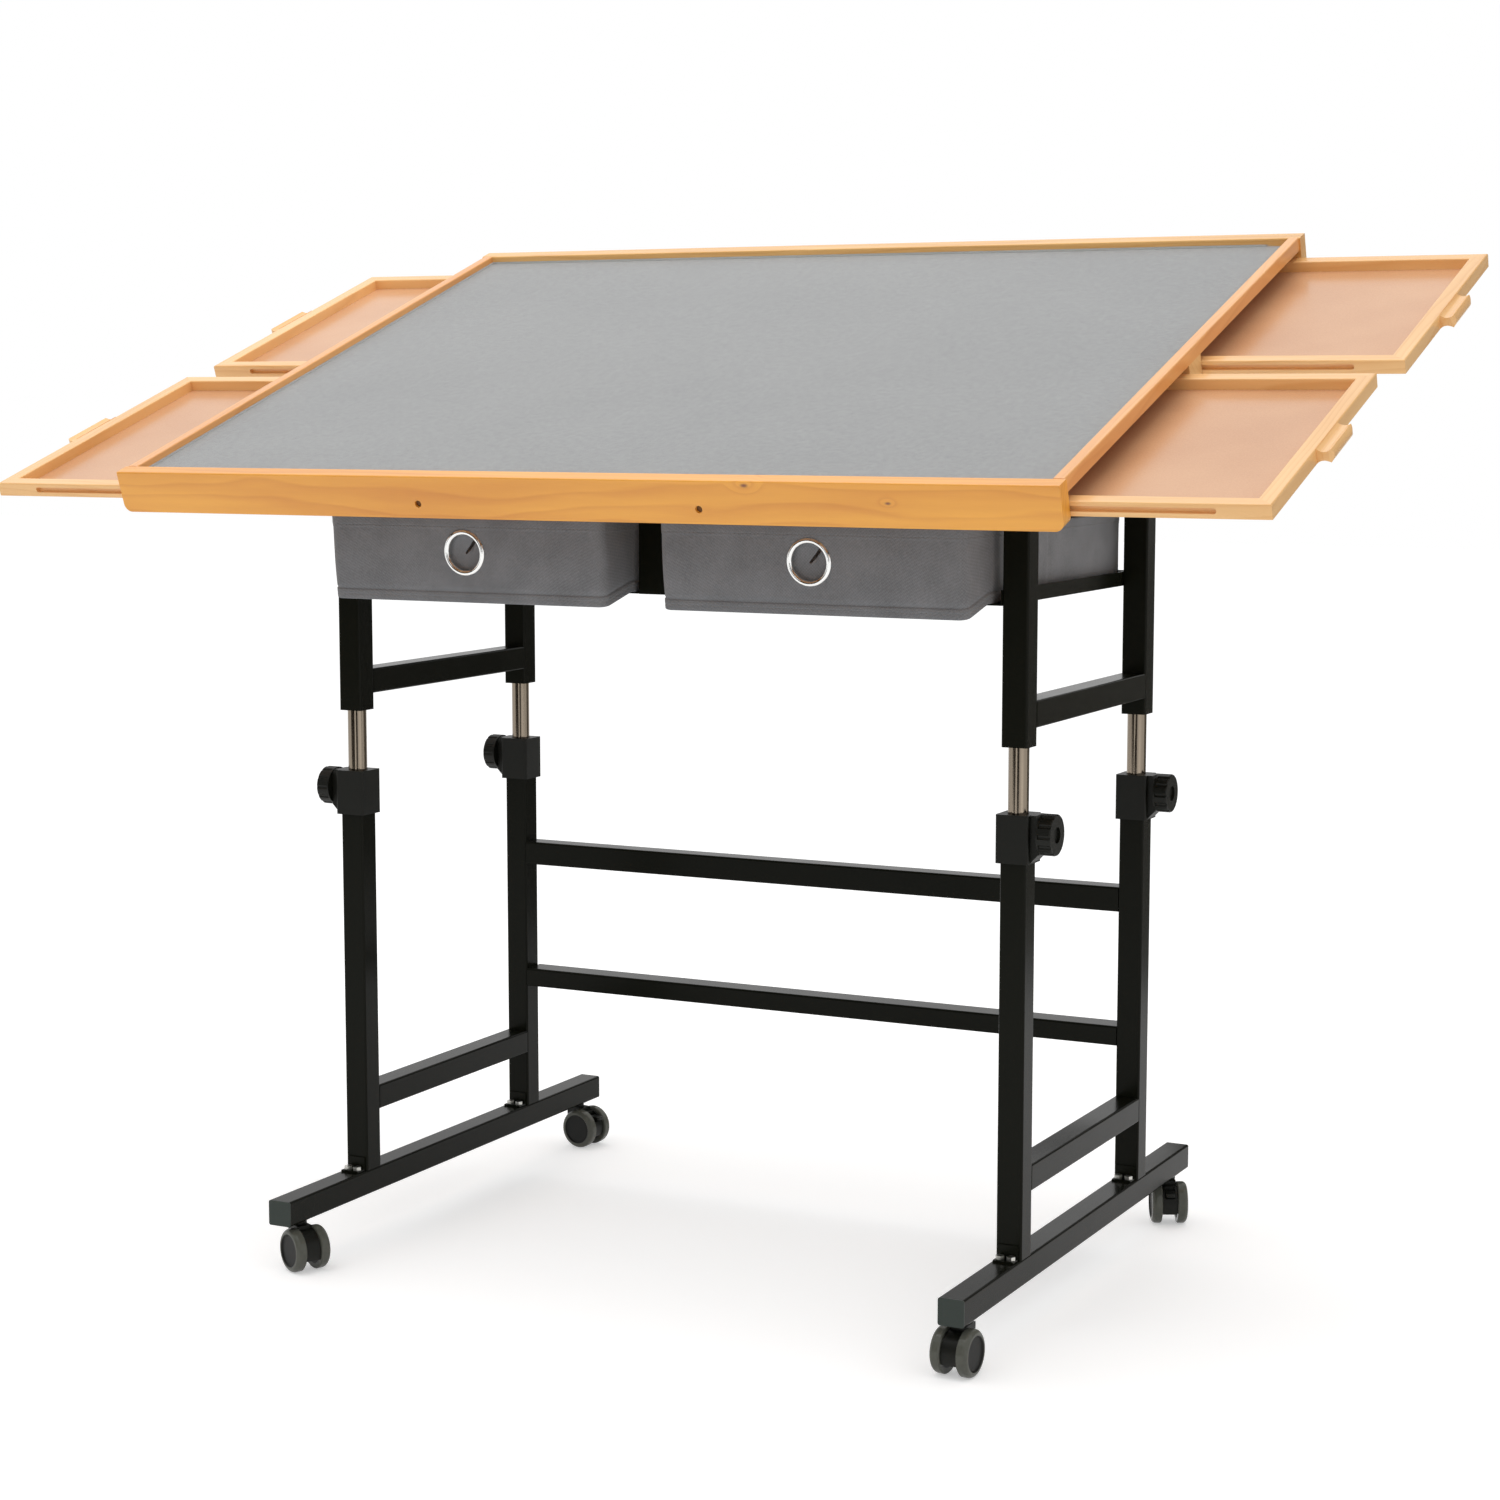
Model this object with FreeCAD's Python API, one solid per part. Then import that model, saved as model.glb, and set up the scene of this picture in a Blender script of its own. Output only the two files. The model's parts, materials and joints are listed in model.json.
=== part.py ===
import FreeCAD, Part
import math
import os
from FreeCAD import Rotation, Vector

os.makedirs("parts", exist_ok=True)

# A jigsaw puzzle table on casters: a pine tray with four flat drawers, tilted on a steel
# frame that telescopes, with two fabric bins hung under the tray.
# Millimetres, +Z up, X across the table, +Y towards its back.
# The frame is drawn about the point on the floor midway between its legs. The parts are then
# moved so that the origin is on the floor under the middle of the whole table, drawers out.

# ---------------------------------------------------------------- driving sizes

# Square steel tube of the frame
tube = 25.0
tube_wall = 1.5
tube_corner = 2.0
frame_width = 738.0
leg_spacing = 318.0
foot_length = 614.0
plug_flange = 1.5
plug_reach = 12.0

# Lower frame, measured up from the tops of the foot bars
leg_length = 405.0
lower_bar_rise = 59.5
foot_rest_rise = 135.0
foot_rest_thick = 20.0
foot_rest_deep = 30.0
back_stretcher_rise = 271.5

# Telescoping part
rod_radius = 9.5
rod_engaged = 184.0
rod_in_leg = 50.0
rod_seat = 3.0
lift_gap = 60.5
upper_leg_length = 271.0
upper_bar_rise = 16.0
end_bar_drop = 56.0

# Clamp collars and their knobs
collar_wall = 3.5
collar_height = 44.5
collar_roof = 5.5
lug_reach = 7.5
lug_width = 22.0
lug_step = 1.0
lug_chin = 7.8
lug_brow = 4.3
lug_brow_slope = 2.6
knob_rise = 26.7
stud_radius = 4.0
knob_radius = 19.0
knob_length = 14.0
knob_flutes = 12
flute_radius = 2.6
flute_start = 1.7
knob_edge = 1.5
knob_dish_radius = 7.5
knob_dish_depth = 2.5

# Angle brackets and bolts at the feet of the legs
bracket_width = 20.0
bracket_leg = 14.0
bracket_thick = 2.0
bracket_bolt_apart = 10.5
bolt_radius = 2.5
bolt_head = 4.4
bolt_head_height = 3.5

# Casters
caster_height = 48.6
wheel_radius = 21.7
wheel_width = 10.5
wheel_shoulder = 4.6
wheel_chamfer = 1.0
wheel_gap = 0.5
hub_radius = 16.5
hub_dish = 1.5
axle_radius = 3.0
caster_trail = 14.0
caster_inset = 31.4
caster_body_thick = 15.0
caster_body_radius = 18.8
caster_floor_gap = 12.5
caster_boss_radius = 8.4
caster_boss_gap = 0.6
stem_radius = 4.0
stem_length = 12.0
brake_width = 10.0
brake_reach = 21.5
brake_thick = 3.5
brake_drop = 0.5
brake_barrel = 3.0
brake_pin = 1.5
brake_pivot_out = 9.0
brake_pivot_height = 33.0
brake_corner = 2.5

# Pine tray, tilted about a bolt in each front leg
tilt = 19.0
tray_width = 952.0
tray_depth = 717.0
rail_thick = 17.0
rail_height = 40.0
rail_corner = 8.0
rail_edge = 1.5
pivot_in = 215.0
pivot_below = 54.0
pivot_down_leg = 10.7
side_rail_width = 11.0
side_rail_inset = 1.5
felt_depth = 8.0
felt_thick = 1.0
board_thick = 4.0
board_let_in = 4.0
divider_width = 34.0

# Clear cover that lies in the tray
cover_thick = 2.0
cover_gap = 1.5
cover_corner = 25.0

# Drawers
drawer_length = 430.0
drawer_height = 13.0
drawer_rail = 15.0
drawer_drop = 20.0
drawer_gap = 0.8
drawer_bottom = 2.5
bottom_let_in = 4.0
runner_height = 4.4
runner_depth = 5.0
runner_drop = 4.3
groove_stop = 46.0
runner_end_gap = 3.0
runner_inner_end = 60.0
runner_screw_x = 143.0
runner_screw_head = 3.1
runner_screw_sink = 2.0
screw_well = 3.4
open_front_left = 166.0
open_back_left = 156.0
open_front_right = 171.0
open_back_right = 187.0
pull_length = 66.0
pull_reach = 14.0
pull_hollow = 6.3
pull_nose = 11.9
pull_waist = 7.5
pull_lip = 11.5
pull_corner = 6.0

# Steel arms under the tray, each with a slotted quadrant
arm_thick = 3.0
arm_flange = 24.5
arm_deep = 26.0
arm_start = 60.0
arm_taper = 60.0
arm_end_deep = 9.0
arm_let_in_gap = 0.2
arm_end_inset = 3.0
quadrant_radius = 150.0
quadrant_half_width = 16.0
slot_clearance = 0.3
slot_spare = 1.0
clamp_drop = 8.0
tilt_knob_radius = 14.0
tilt_knob_length = 15.0
tilt_knob_flutes = 10
tilt_hub_radius = 8.0
tilt_hub_length = 6.0
tilt_stud_in_bar = 4.5
spacer_radius = 9.0
spacer_thick = 1.2
pivot_head = 7.5
screw_radius = 1.9
screw_head = 3.8
screw_length = 13.0
pad_radius = 8.0

# Fabric bins and what carries them
bin_height = 69.2
bin_wall = 3.0
bin_out = 64.5
bin_lean = 9.0
bin_droop = 11.8
bin_droop_length = 49.0
bin_corner = 6.0
bin_headroom = 17.0
bin_play = 16.5
bin_play_outside = 0.64
sheet_steel = 1.5
rail_lip = 14.0
rail_flange = 19.0
runner_box_width = 48.0
runner_flange = 16.0
hanger_thick = 3.0
ring_radius = 22.5
ring_hole = 18.5
ring_proud = 2.0
ring_below_rim = 33.0

# Clearances
running_gap = 0.1
sliding_gap = 0.3

# How far a cutter runs past the face that it opens
past = 1.0

# ---------------------------------------------------------------- derived places

leg_x = (frame_width - tube) / 2
leg_y = leg_spacing / 2
inner_x = leg_x - tube / 2
outer_x = leg_x + tube / 2
inner_y = leg_y - tube / 2
outer_y = leg_y + tube / 2
foot_top = caster_height + tube
leg_top = foot_top + leg_length
collar_top = leg_top + collar_roof
collar_bottom = collar_top - collar_height
knob_z = collar_bottom + knob_rise
upper_leg_bottom = collar_top + lift_gap
upper_leg_top = upper_leg_bottom + upper_leg_length
rod_bottom = leg_top - rod_engaged
rod_top = upper_leg_bottom + rod_in_leg
end_bar_bottom = upper_leg_top - end_bar_drop
pivot_z = upper_leg_top - pivot_down_leg
caster_y = foot_length / 2 - caster_inset
half_tray = tray_width / 2
side_rail_out = half_tray - side_rail_inset
side_rail_in = side_rail_out - side_rail_width
board_top = -felt_depth - felt_thick
board_bottom = board_top - board_thick
divider_front = (tray_depth - divider_width) / 2
divider_back = divider_front + divider_width
arm_out = inner_x - spacer_thick - sliding_gap
arm_in = arm_out - arm_thick
runner_top = -drawer_drop - runner_drop
bin_top = end_bar_bottom - bin_headroom
bin_floor_height = bin_top - bin_height
ring_height = bin_top - ring_below_rim
rail_bottom_z = bin_floor_height - sliding_gap - sheet_steel
bin_back = outer_y - sheet_steel - sliding_gap
bin_width = inner_x - runner_box_width / 2 - bin_play

X = Vector(1, 0, 0)
Y = Vector(0, 1, 0)
Z = Vector(0, 0, 1)
corners = [("front_left", -1, -1), ("back_left", -1, 1), ("front_right", 1, -1), ("back_right", 1, 1)]


# ---------------------------------------------------------------- helpers

nodes = {}


def save(name, *solids):
    """Keeps one node: a solid, or a group of separate solids."""
    nodes[name] = solids[0] if len(solids) == 1 else Part.makeCompound(list(solids))


def write_nodes():
    """Moves the origin to the floor under the middle of the whole table and writes every node."""
    extent = Part.makeCompound(list(nodes.values())).optimalBoundingBox(False, False)
    home = Vector(-extent.Center.x, -extent.Center.y, 0)
    for name, shape in nodes.items():
        shape.translate(home)
        shape.exportStep("parts/" + name + ".step")


def block(x0, x1, y0, y1, z0, z1):
    """A box between two corners."""
    return Part.makeBox(x1 - x0, y1 - y0, z1 - z0, Vector(x0, y0, z0))


def bar(radius, start, end):
    """A round bar between two points."""
    line = end - start
    return Part.makeCylinder(radius, line.Length, start, line)


def prism(points, direction):
    """A closed outline of straight sides, extruded."""
    return Part.Face(Part.makePolygon(points + points[:1])).extrude(direction)


def rounded(shape, radius, chosen):
    """Rounds the edges that the test picks."""
    edges = [edge for edge in shape.Edges if chosen(edge)]
    return shape.makeFillet(radius, edges)


def runs_along(edge, direction):
    """True for a straight edge along a direction."""
    line = edge.Vertexes[-1].Point - edge.Vertexes[0].Point
    return line.Length > 0 and line.cross(direction).Length < 1e-6 * line.Length


def hollow_bar(start, end, wide=tube, high=tube):
    """Rectangular tube with rounded corners: wide lies level and high stands up."""
    length = (end - start).Length
    along = (end - start).normalize()
    size_x, size_y = (high, wide) if abs(along.x) > 0.5 else (wide, high)
    body = block(-size_x / 2, size_x / 2, -size_y / 2, size_y / 2, 0, length)
    body = rounded(body, tube_corner, lambda edge: runs_along(edge, Z))
    inside_x = size_x / 2 - tube_wall
    inside_y = size_y / 2 - tube_wall
    body = body.cut(block(-inside_x, inside_x, -inside_y, inside_y, -past, length + past))
    body.rotate(Vector(), Rotation(Z, along).Axis, math.degrees(Rotation(Z, along).Angle))
    body.translate(start)
    return body


def hex_bolt(seat, outwards, length, radius=bolt_radius, head=bolt_head):
    """Hexagon bolt whose head stands on the seat and whose shank goes in."""
    outline = []
    for step in range(6):
        turn = math.radians(60 * step)
        outline.append(Vector(head * math.cos(turn), head * math.sin(turn), 0))
    bolt = prism(outline, Z * bolt_head_height)
    bolt = bolt.fuse(Part.makeCylinder(radius, length, Vector(), -Z))
    return towards(bolt, outwards, seat)


def hole(seat, outwards, radius, depth):
    """The cutter of a straight hole from a seat inwards."""
    start = seat + outwards * past
    return bar(radius, start, seat - outwards * depth)


def fluted_knob(radius, length, flutes, dish_radius, dish_depth):
    """Moulded knob along +Z with scalloped sides and a dished face, its back at z = 0."""
    knob = Part.makeCylinder(radius, length)
    knob = rounded(knob, knob_edge, lambda edge: abs(edge.BoundBox.ZMin - length) < 1e-6)
    for step in range(flutes):
        turn = 2 * math.pi * step / flutes
        centre = Vector((radius + flute_radius / 2) * math.cos(turn),
                        (radius + flute_radius / 2) * math.sin(turn), flute_start)
        knob = knob.cut(Part.makeCylinder(flute_radius, length, centre, Z))
    dish = Part.makeCylinder(dish_radius, dish_depth + past, Vector(0, 0, length - dish_depth), Z)
    return knob.cut(dish)


def towards(shape, direction, place):
    """Turns a shape made along +Z to a direction and moves it."""
    turn = Rotation(Z, direction)
    moved = shape.copy()
    moved.rotate(Vector(), turn.Axis, math.degrees(turn.Angle))
    moved.translate(place)
    return moved


# ---------------------------------------------------------------- lower frame

def foot_bars():
    """The two bars on the floor, with a hole under each end for a caster's stem."""
    bars = []
    half = foot_length / 2 - plug_flange
    for side in (-1, 1):
        foot = hollow_bar(Vector(side * leg_x, -half, foot_top - tube / 2),
                          Vector(side * leg_x, half, foot_top - tube / 2))
        for end in (-1, 1):
            mouth = Vector(side * leg_x, end * caster_y, caster_height)
            foot = foot.cut(hole(mouth, -Z, stem_radius + running_gap, 2 * tube_wall))
            for seat in bracket_seats(side, end):
                foot = foot.cut(hole(seat, Z, bolt_radius, bracket_thick + 2 * tube_wall))
        bars.append(foot)
    return bars


def end_plug(side, end):
    """Plastic plug that closes one end of a foot bar."""
    face = end * foot_length / 2
    lip = face - end * plug_flange
    inner = lip - end * plug_reach
    half = tube / 2
    flange = block(-half, half, min(face, lip), max(face, lip), -half, half)
    flange = rounded(flange, tube_corner, lambda edge: runs_along(edge, Y))
    half -= tube_wall
    plug = flange.fuse(block(-half, half, min(lip, inner), max(lip, inner), -half, half))
    plug.translate(Vector(side * leg_x, 0, foot_top - tube / 2))
    return plug


def lower_leg(side, end):
    """Lower tube of a leg, open to the rod and drilled for the clamp stud."""
    leg = hollow_bar(Vector(side * leg_x, end * leg_y, foot_top),
                     Vector(side * leg_x, end * leg_y, leg_top))
    stud_seat = Vector(side * outer_x, end * leg_y, knob_z)
    return leg.cut(hole(stud_seat, X * side, stud_radius + running_gap, 2 * tube_wall))


def collar(side, end):
    """Moulded clamp collar: a pocket over the leg, a bore for the rod and a lug for the knob."""
    half = tube / 2 + collar_wall
    body = block(-half, half, -half, half, collar_bottom, collar_top)
    body = rounded(body, tube_corner, lambda edge: runs_along(edge, Z))
    tip = half + lug_reach
    low = collar_bottom + lug_step
    outline = [(half - past, low), (half, low), (tip, low + lug_chin), (tip, collar_top - lug_brow),
               (tip - lug_brow_slope, collar_top), (half - past, collar_top)]
    points = [Vector(x, -lug_width / 2, z) for x, z in outline]
    lug = prism(points, Y * lug_width)
    body = body.fuse(lug).removeSplitter()
    pocket = tube / 2
    body = body.cut(block(-pocket, pocket, -pocket, pocket, collar_bottom - past, leg_top))
    body = body.cut(Part.makeCylinder(rod_radius + sliding_gap, collar_roof + 2 * past,
                                      Vector(0, 0, leg_top - past), Z))
    stud_way = bar(stud_radius + running_gap, Vector(0, 0, knob_z), Vector(tip + past, 0, knob_z))
    body = body.cut(stud_way)
    if side < 0:
        body.rotate(Vector(), Z, 180)
    body.translate(Vector(side * leg_x, end * leg_y, 0))
    return body


def height_knob(side, end):
    """Clamp knob with the stud that presses on the rod."""
    back = tube / 2 + collar_wall + lug_reach + sliding_gap
    stud_tip = rod_radius + sliding_gap
    knob = fluted_knob(knob_radius, knob_length, knob_flutes, knob_dish_radius, knob_dish_depth)
    knob = knob.fuse(Part.makeCylinder(stud_radius, back - stud_tip, Vector(), -Z))
    place = Vector(side * (leg_x + back), end * leg_y, knob_z)
    return towards(knob, X * side, place)


def base_bracket(side, end):
    """Folded angle in the corner between a leg and its foot bar."""
    face = end * leg_y - tube / 2
    half = bracket_width / 2
    upright = block(-half, half, face - bracket_thick, face, foot_top, foot_top + bracket_leg)
    sole = block(-half, half, face - bracket_leg, face, foot_top, foot_top + bracket_thick)
    angle = upright.fuse(sole).removeSplitter()
    angle.translate(Vector(side * leg_x, 0, 0))
    for seat in bracket_seats(side, end):
        angle = angle.cut(hole(seat, Z, bolt_radius, 2 * bracket_thick))
    return angle


def bracket_seats(side, end):
    """Where the two bolts of a bracket stand, side by side in front of the leg."""
    forward = end * leg_y - tube / 2 - (bracket_thick + bracket_leg) / 2
    middle = Vector(side * leg_x, forward, foot_top + bracket_thick)
    return [middle - X * bracket_bolt_apart / 2, middle + X * bracket_bolt_apart / 2]


# ---------------------------------------------------------------- casters

def wheel(near, far):
    """One wheel: a tyre with round shoulders and a dished hub, turned about the Y axis."""
    half = wheel_shoulder
    crown = wheel_radius
    turn = half * (1 - math.sqrt(0.5))
    start = Vector(axle_radius, near, 0)
    inner = Vector(crown - wheel_chamfer, near, 0)
    inner_top = Vector(crown, near + wheel_chamfer, 0)
    shoulder = Vector(crown, far - half, 0)
    middle = Vector(crown - turn, far - turn, 0)
    outer = Vector(crown - half, far, 0)
    rim = Vector(hub_radius, far, 0)
    dish = Vector(hub_radius - hub_dish, far - hub_dish, 0)
    centre = Vector(axle_radius, far - hub_dish, 0)
    edges = [Part.makeLine(start, inner), Part.makeLine(inner, inner_top),
             Part.makeLine(inner_top, shoulder), Part.Arc(shoulder, middle, outer).toShape(),
             Part.makeLine(outer, rim), Part.makeLine(rim, dish),
             Part.makeLine(dish, centre), Part.makeLine(centre, start)]
    return Part.Face(Part.Wire(edges)).revolve(Vector(), Y, 360)


def caster_wheels():
    """The two wheels and their axle, about the origin with the axle along Y."""
    near = caster_body_thick / 2 + wheel_gap
    far = near + wheel_width
    left = wheel(near, far)
    right = left.mirror(Vector(), Y)
    end = far - hub_dish
    axle = bar(axle_radius, Vector(0, -end, 0), Vector(0, end, 0))
    return [left, right, axle]


def caster_body(has_brake):
    """Housing between the wheels, with its swivel boss and the stem into the foot bar."""
    half = caster_body_thick / 2
    axle = Vector(caster_trail, 0, wheel_radius)
    body = bar(caster_body_radius, axle - Y * half, axle + Y * half)
    body = body.cut(block(-caster_height, caster_height, -half - past, half + past,
                          -past, caster_floor_gap))
    boss_bottom = 2 * wheel_radius + caster_boss_gap
    boss_top = caster_height - sliding_gap
    neck = block(-half, caster_trail, -half, half, wheel_radius, boss_bottom)
    boss = Part.makeCylinder(caster_boss_radius, boss_top - boss_bottom, Vector(0, 0, boss_bottom), Z)
    stem = Part.makeCylinder(stem_radius, stem_length + sliding_gap, Vector(0, 0, boss_top), Z)
    body = body.fuse([neck, boss, stem]).removeSplitter()
    if has_brake:
        pivot = Vector(caster_trail + brake_pivot_out, 0, brake_pivot_height)
        back = pivot.x - brake_barrel - sliding_gap
        floor = pivot.z - brake_barrel - sliding_gap
        slit = brake_width / 2 + sliding_gap
        body = body.cut(block(back, wheel_radius * 3, -slit, slit, floor, caster_height))
        body = body.cut(bar(brake_pin + running_gap, pivot - Y * half * 2, pivot + Y * half * 2))
    return body.cut(bar(axle_radius + running_gap, axle - Y * half * 2, axle + Y * half * 2))


def caster_brake():
    """Foot lever of a locking caster, pinned between the cheeks of its housing."""
    pivot = Vector(caster_trail + brake_pivot_out, 0, brake_pivot_height)
    half = brake_width / 2
    cheek = caster_body_thick / 2
    lever = bar(brake_barrel, pivot - Y * half, pivot + Y * half)
    pin = bar(brake_pin, pivot - Y * cheek, pivot + Y * cheek)
    bottom = brake_pivot_height + brake_barrel - brake_thick - brake_drop
    tip = caster_trail + brake_reach
    arm = block(pivot.x, tip, -half, half, bottom, bottom + brake_thick)
    arm = rounded(arm, brake_corner, lambda edge: runs_along(edge, Z)
                  and edge.BoundBox.XMin > tip - brake_corner)
    return lever.fuse([pin, arm]).removeSplitter()


def set_caster(shape, side, end, heading):
    """Turns a caster part about its stem and puts it under a foot bar."""
    placed = shape.copy()
    placed.rotate(Vector(), Z, heading)
    placed.translate(Vector(side * leg_x, end * caster_y, 0))
    return placed


# Which way each caster trails, in degrees from +X
caster_heading = {"front_left": -28.0, "back_left": -8.0, "front_right": -93.0, "back_right": -64.0}


def write_casters():
    wheels = [part.copy() for part in caster_wheels()]
    for part in wheels:
        part.translate(Vector(caster_trail, 0, wheel_radius))
    for name, side, end in corners:
        heading = caster_heading[name]
        locks = end > 0
        save("caster_body_" + name, set_caster(caster_body(locks), side, end, heading))
        save("caster_wheels_" + name, *[set_caster(part, side, end, heading) for part in wheels])
        if locks:
            save("caster_brake_" + name, set_caster(caster_brake(), side, end, heading))


def write_lower_frame():
    save("foot_bars", *foot_bars())
    save("foot_end_plugs", *[end_plug(side, end) for side in (-1, 1) for end in (-1, 1)])
    for name, side in (("left", -1), ("right", 1)):
        save("lower_legs_" + name, lower_leg(side, -1), lower_leg(side, 1))
    middle = foot_top + lower_bar_rise + tube / 2
    save("lower_cross_bars", *[hollow_bar(Vector(side * leg_x, -inner_y, middle),
                                          Vector(side * leg_x, inner_y, middle)) for side in (-1, 1)])
    middle = foot_top + back_stretcher_rise + tube / 2
    save("upper_stretcher", hollow_bar(Vector(-inner_x, leg_y, middle), Vector(inner_x, leg_y, middle)))
    middle = Vector(0, inner_y + foot_rest_deep / 2, foot_top + foot_rest_rise + foot_rest_thick / 2)
    save("lower_stretcher", hollow_bar(middle - X * inner_x, middle + X * inner_x,
                                       foot_rest_deep, foot_rest_thick))
    save("leg_collars", *[collar(side, end) for name, side, end in corners])
    save("base_brackets", *[base_bracket(side, end) for name, side, end in corners])
    bolts = []
    for name, side, end in corners:
        save("height_knob_" + name, height_knob(side, end))
        for seat in bracket_seats(side, end):
            bolts.append(hex_bolt(seat, Z, bracket_thick + 2 * tube_wall))
    save("base_bolts", *bolts)


# ---------------------------------------------------------------- upper frame

def upper_leg(side, end):
    """Upper tube of a leg: its foot grips the chrome rod and its top is closed."""
    centre = Vector(side * leg_x, end * leg_y, 0)
    leg = hollow_bar(centre + Z * upper_leg_bottom, centre + Z * upper_leg_top)
    half = tube / 2 - tube_wall
    foot = block(-half, half, -half, half, upper_leg_bottom, upper_leg_bottom + rod_seat)
    top = block(-half, half, -half, half, upper_leg_top - tube_wall, upper_leg_top)
    for plate in (foot, top):
        plate.translate(centre)
    leg = leg.fuse([foot, top]).removeSplitter()
    leg = leg.cut(bar(rod_radius, centre + Z * (upper_leg_bottom - past),
                      centre + Z * (upper_leg_bottom + rod_seat + past)))
    if end < 0:
        leg = leg.cut(bar(stud_radius, Vector(side * (inner_x - past), -leg_y, pivot_z),
                          Vector(side * (outer_x + past), -leg_y, pivot_z)))
    seat = Vector(side * inner_x, end * leg_y, rail_bottom_z + rail_lip / 2)
    return leg.cut(hole(seat, X * -side, bolt_radius, 2 * tube_wall))


def lift_rod(side, end):
    """Chrome rod from inside the lower leg up into the upper leg."""
    centre = Vector(side * leg_x, end * leg_y, 0)
    rod = bar(rod_radius, centre + Z * rod_bottom, centre + Z * rod_top)
    return rod.makeChamfer(1.0, [rod.Edges[0], rod.Edges[2]])


def side_top_bar(side):
    """Bar between the tops of two legs, drilled for the tilt clamp."""
    top = hollow_bar(Vector(side * leg_x, -inner_y, upper_leg_top - tube / 2),
                     Vector(side * leg_x, inner_y, upper_leg_top - tube / 2))
    seat = Vector(side * inner_x, clamp_y, clamp_z)
    return top.cut(hole(seat, X * -side, stud_radius + running_gap, 2 * tube_wall))


def bin_side_rail(side):
    """Folded steel angle that carries the outer edge of a bin, with an upturned stop behind."""
    outline = [(inner_x, 0), (inner_x, rail_lip), (inner_x - sheet_steel, rail_lip),
               (inner_x - sheet_steel, sheet_steel), (inner_x - rail_flange, sheet_steel),
               (inner_x - rail_flange, 0)]
    points = [Vector(side * x, -outer_y, rail_bottom_z + z) for x, z in outline]
    rail = prism(points, Y * 2 * outer_y)
    stop_x = sorted((side * (inner_x - sheet_steel), side * (inner_x - rail_flange)))
    stop = block(stop_x[0], stop_x[1], outer_y - sheet_steel, outer_y,
                 rail_bottom_z, rail_bottom_z + rail_lip)
    rail = rail.fuse(stop).removeSplitter()
    for end in (-1, 1):
        seat = Vector(side * (inner_x - sheet_steel), end * leg_y, rail_bottom_z + rail_lip / 2)
        rail = rail.cut(hole(seat, X * -side, bolt_radius, 2 * sheet_steel))
    return rail


def bin_centre_runner():
    """Folded hat section between the bins: its flanges carry their inner edges."""
    half = runner_box_width / 2
    outline = [(half + runner_flange, 0), (half + runner_flange, sheet_steel), (half, sheet_steel),
               (half, rail_lip)]
    inside = [(half - sheet_steel, rail_lip - sheet_steel), (half - sheet_steel, 0)]
    right = [Vector(x, -outer_y, rail_bottom_z + z) for x, z in outline]
    right_inside = [Vector(x, -outer_y, rail_bottom_z + z) for x, z in inside]
    left = [Vector(-point.x, point.y, point.z) for point in reversed(right)]
    left_inside = [Vector(-point.x, point.y, point.z) for point in reversed(right_inside)]
    return prism(right + left + left_inside + right_inside, Y * 2 * outer_y)


def hanger_plate(end):
    """Plate that hangs one end of the centre runner from the bar above."""
    near = end * outer_y
    far = near + end * hanger_thick
    half = runner_box_width / 2
    plate = block(-half, half, min(near, far), max(near, far), rail_bottom_z, end_bar_bottom + tube)
    for seat in hanger_seats(end):
        plate = plate.cut(hole(seat, Y * end, bolt_radius, 2 * hanger_thick))
    return plate


def hanger_seats(end):
    """The two bolts of a hanger plate."""
    face = end * (outer_y + hanger_thick)
    height = end_bar_bottom + tube / 2
    return [Vector(x, face, height) for x in (-runner_box_width / 4, runner_box_width / 4)]


def end_top_bar(end):
    """Bar across the frame above the bins."""
    middle = Vector(0, end * leg_y, end_bar_bottom + tube / 2)
    cross = hollow_bar(middle - X * inner_x, middle + X * inner_x)
    for seat in hanger_seats(end):
        cross = cross.cut(hole(seat, Y * end, bolt_radius, hanger_thick + 2 * tube_wall))
    return cross


def pivot_bolt(side):
    """Bolt that the tray tilts on: head outside the leg, spacer and nut inside it."""
    centre = Vector(0, -leg_y, pivot_z)
    reach = outer_x - arm_in + sliding_gap + bolt_head_height
    bolt = hex_bolt(centre + X * side * outer_x, X * side, reach, stud_radius, pivot_head)
    nut_face = centre + X * side * (arm_in - sliding_gap)
    nut = bar(pivot_head, nut_face, nut_face - X * side * bolt_head_height)
    spacer = bar(spacer_radius, centre + X * side * inner_x,
                 centre + X * side * (inner_x - spacer_thick))
    return bolt.fuse([nut, spacer]).removeSplitter()


def clamp_spacer(side):
    """Washer on the side bar that the quadrant is clamped against."""
    centre = Vector(side * inner_x, clamp_y, clamp_z)
    washer = bar(spacer_radius, centre, centre - X * side * spacer_thick)
    return washer.cut(bar(stud_radius + running_gap, centre + X * side * past,
                          centre - X * side * (spacer_thick + past)))


def tilt_knob(side):
    """Clamp knob of a quadrant, with the stud that goes through its slot."""
    knob = fluted_knob(tilt_knob_radius, tilt_knob_length, tilt_knob_flutes,
                       tilt_knob_radius / 2, knob_dish_depth)
    hub = Part.makeCylinder(tilt_hub_radius, tilt_hub_length, Vector(), -Z)
    stud_length = tilt_hub_length + arm_thick + 2 * sliding_gap + spacer_thick + tilt_stud_in_bar
    stud = Part.makeCylinder(stud_radius, stud_length, Vector(), -Z)
    knob = knob.fuse([hub, stud]).removeSplitter()
    back = arm_in - sliding_gap - tilt_hub_length
    return towards(knob, X * -side, Vector(side * back, clamp_y, clamp_z))


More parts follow.
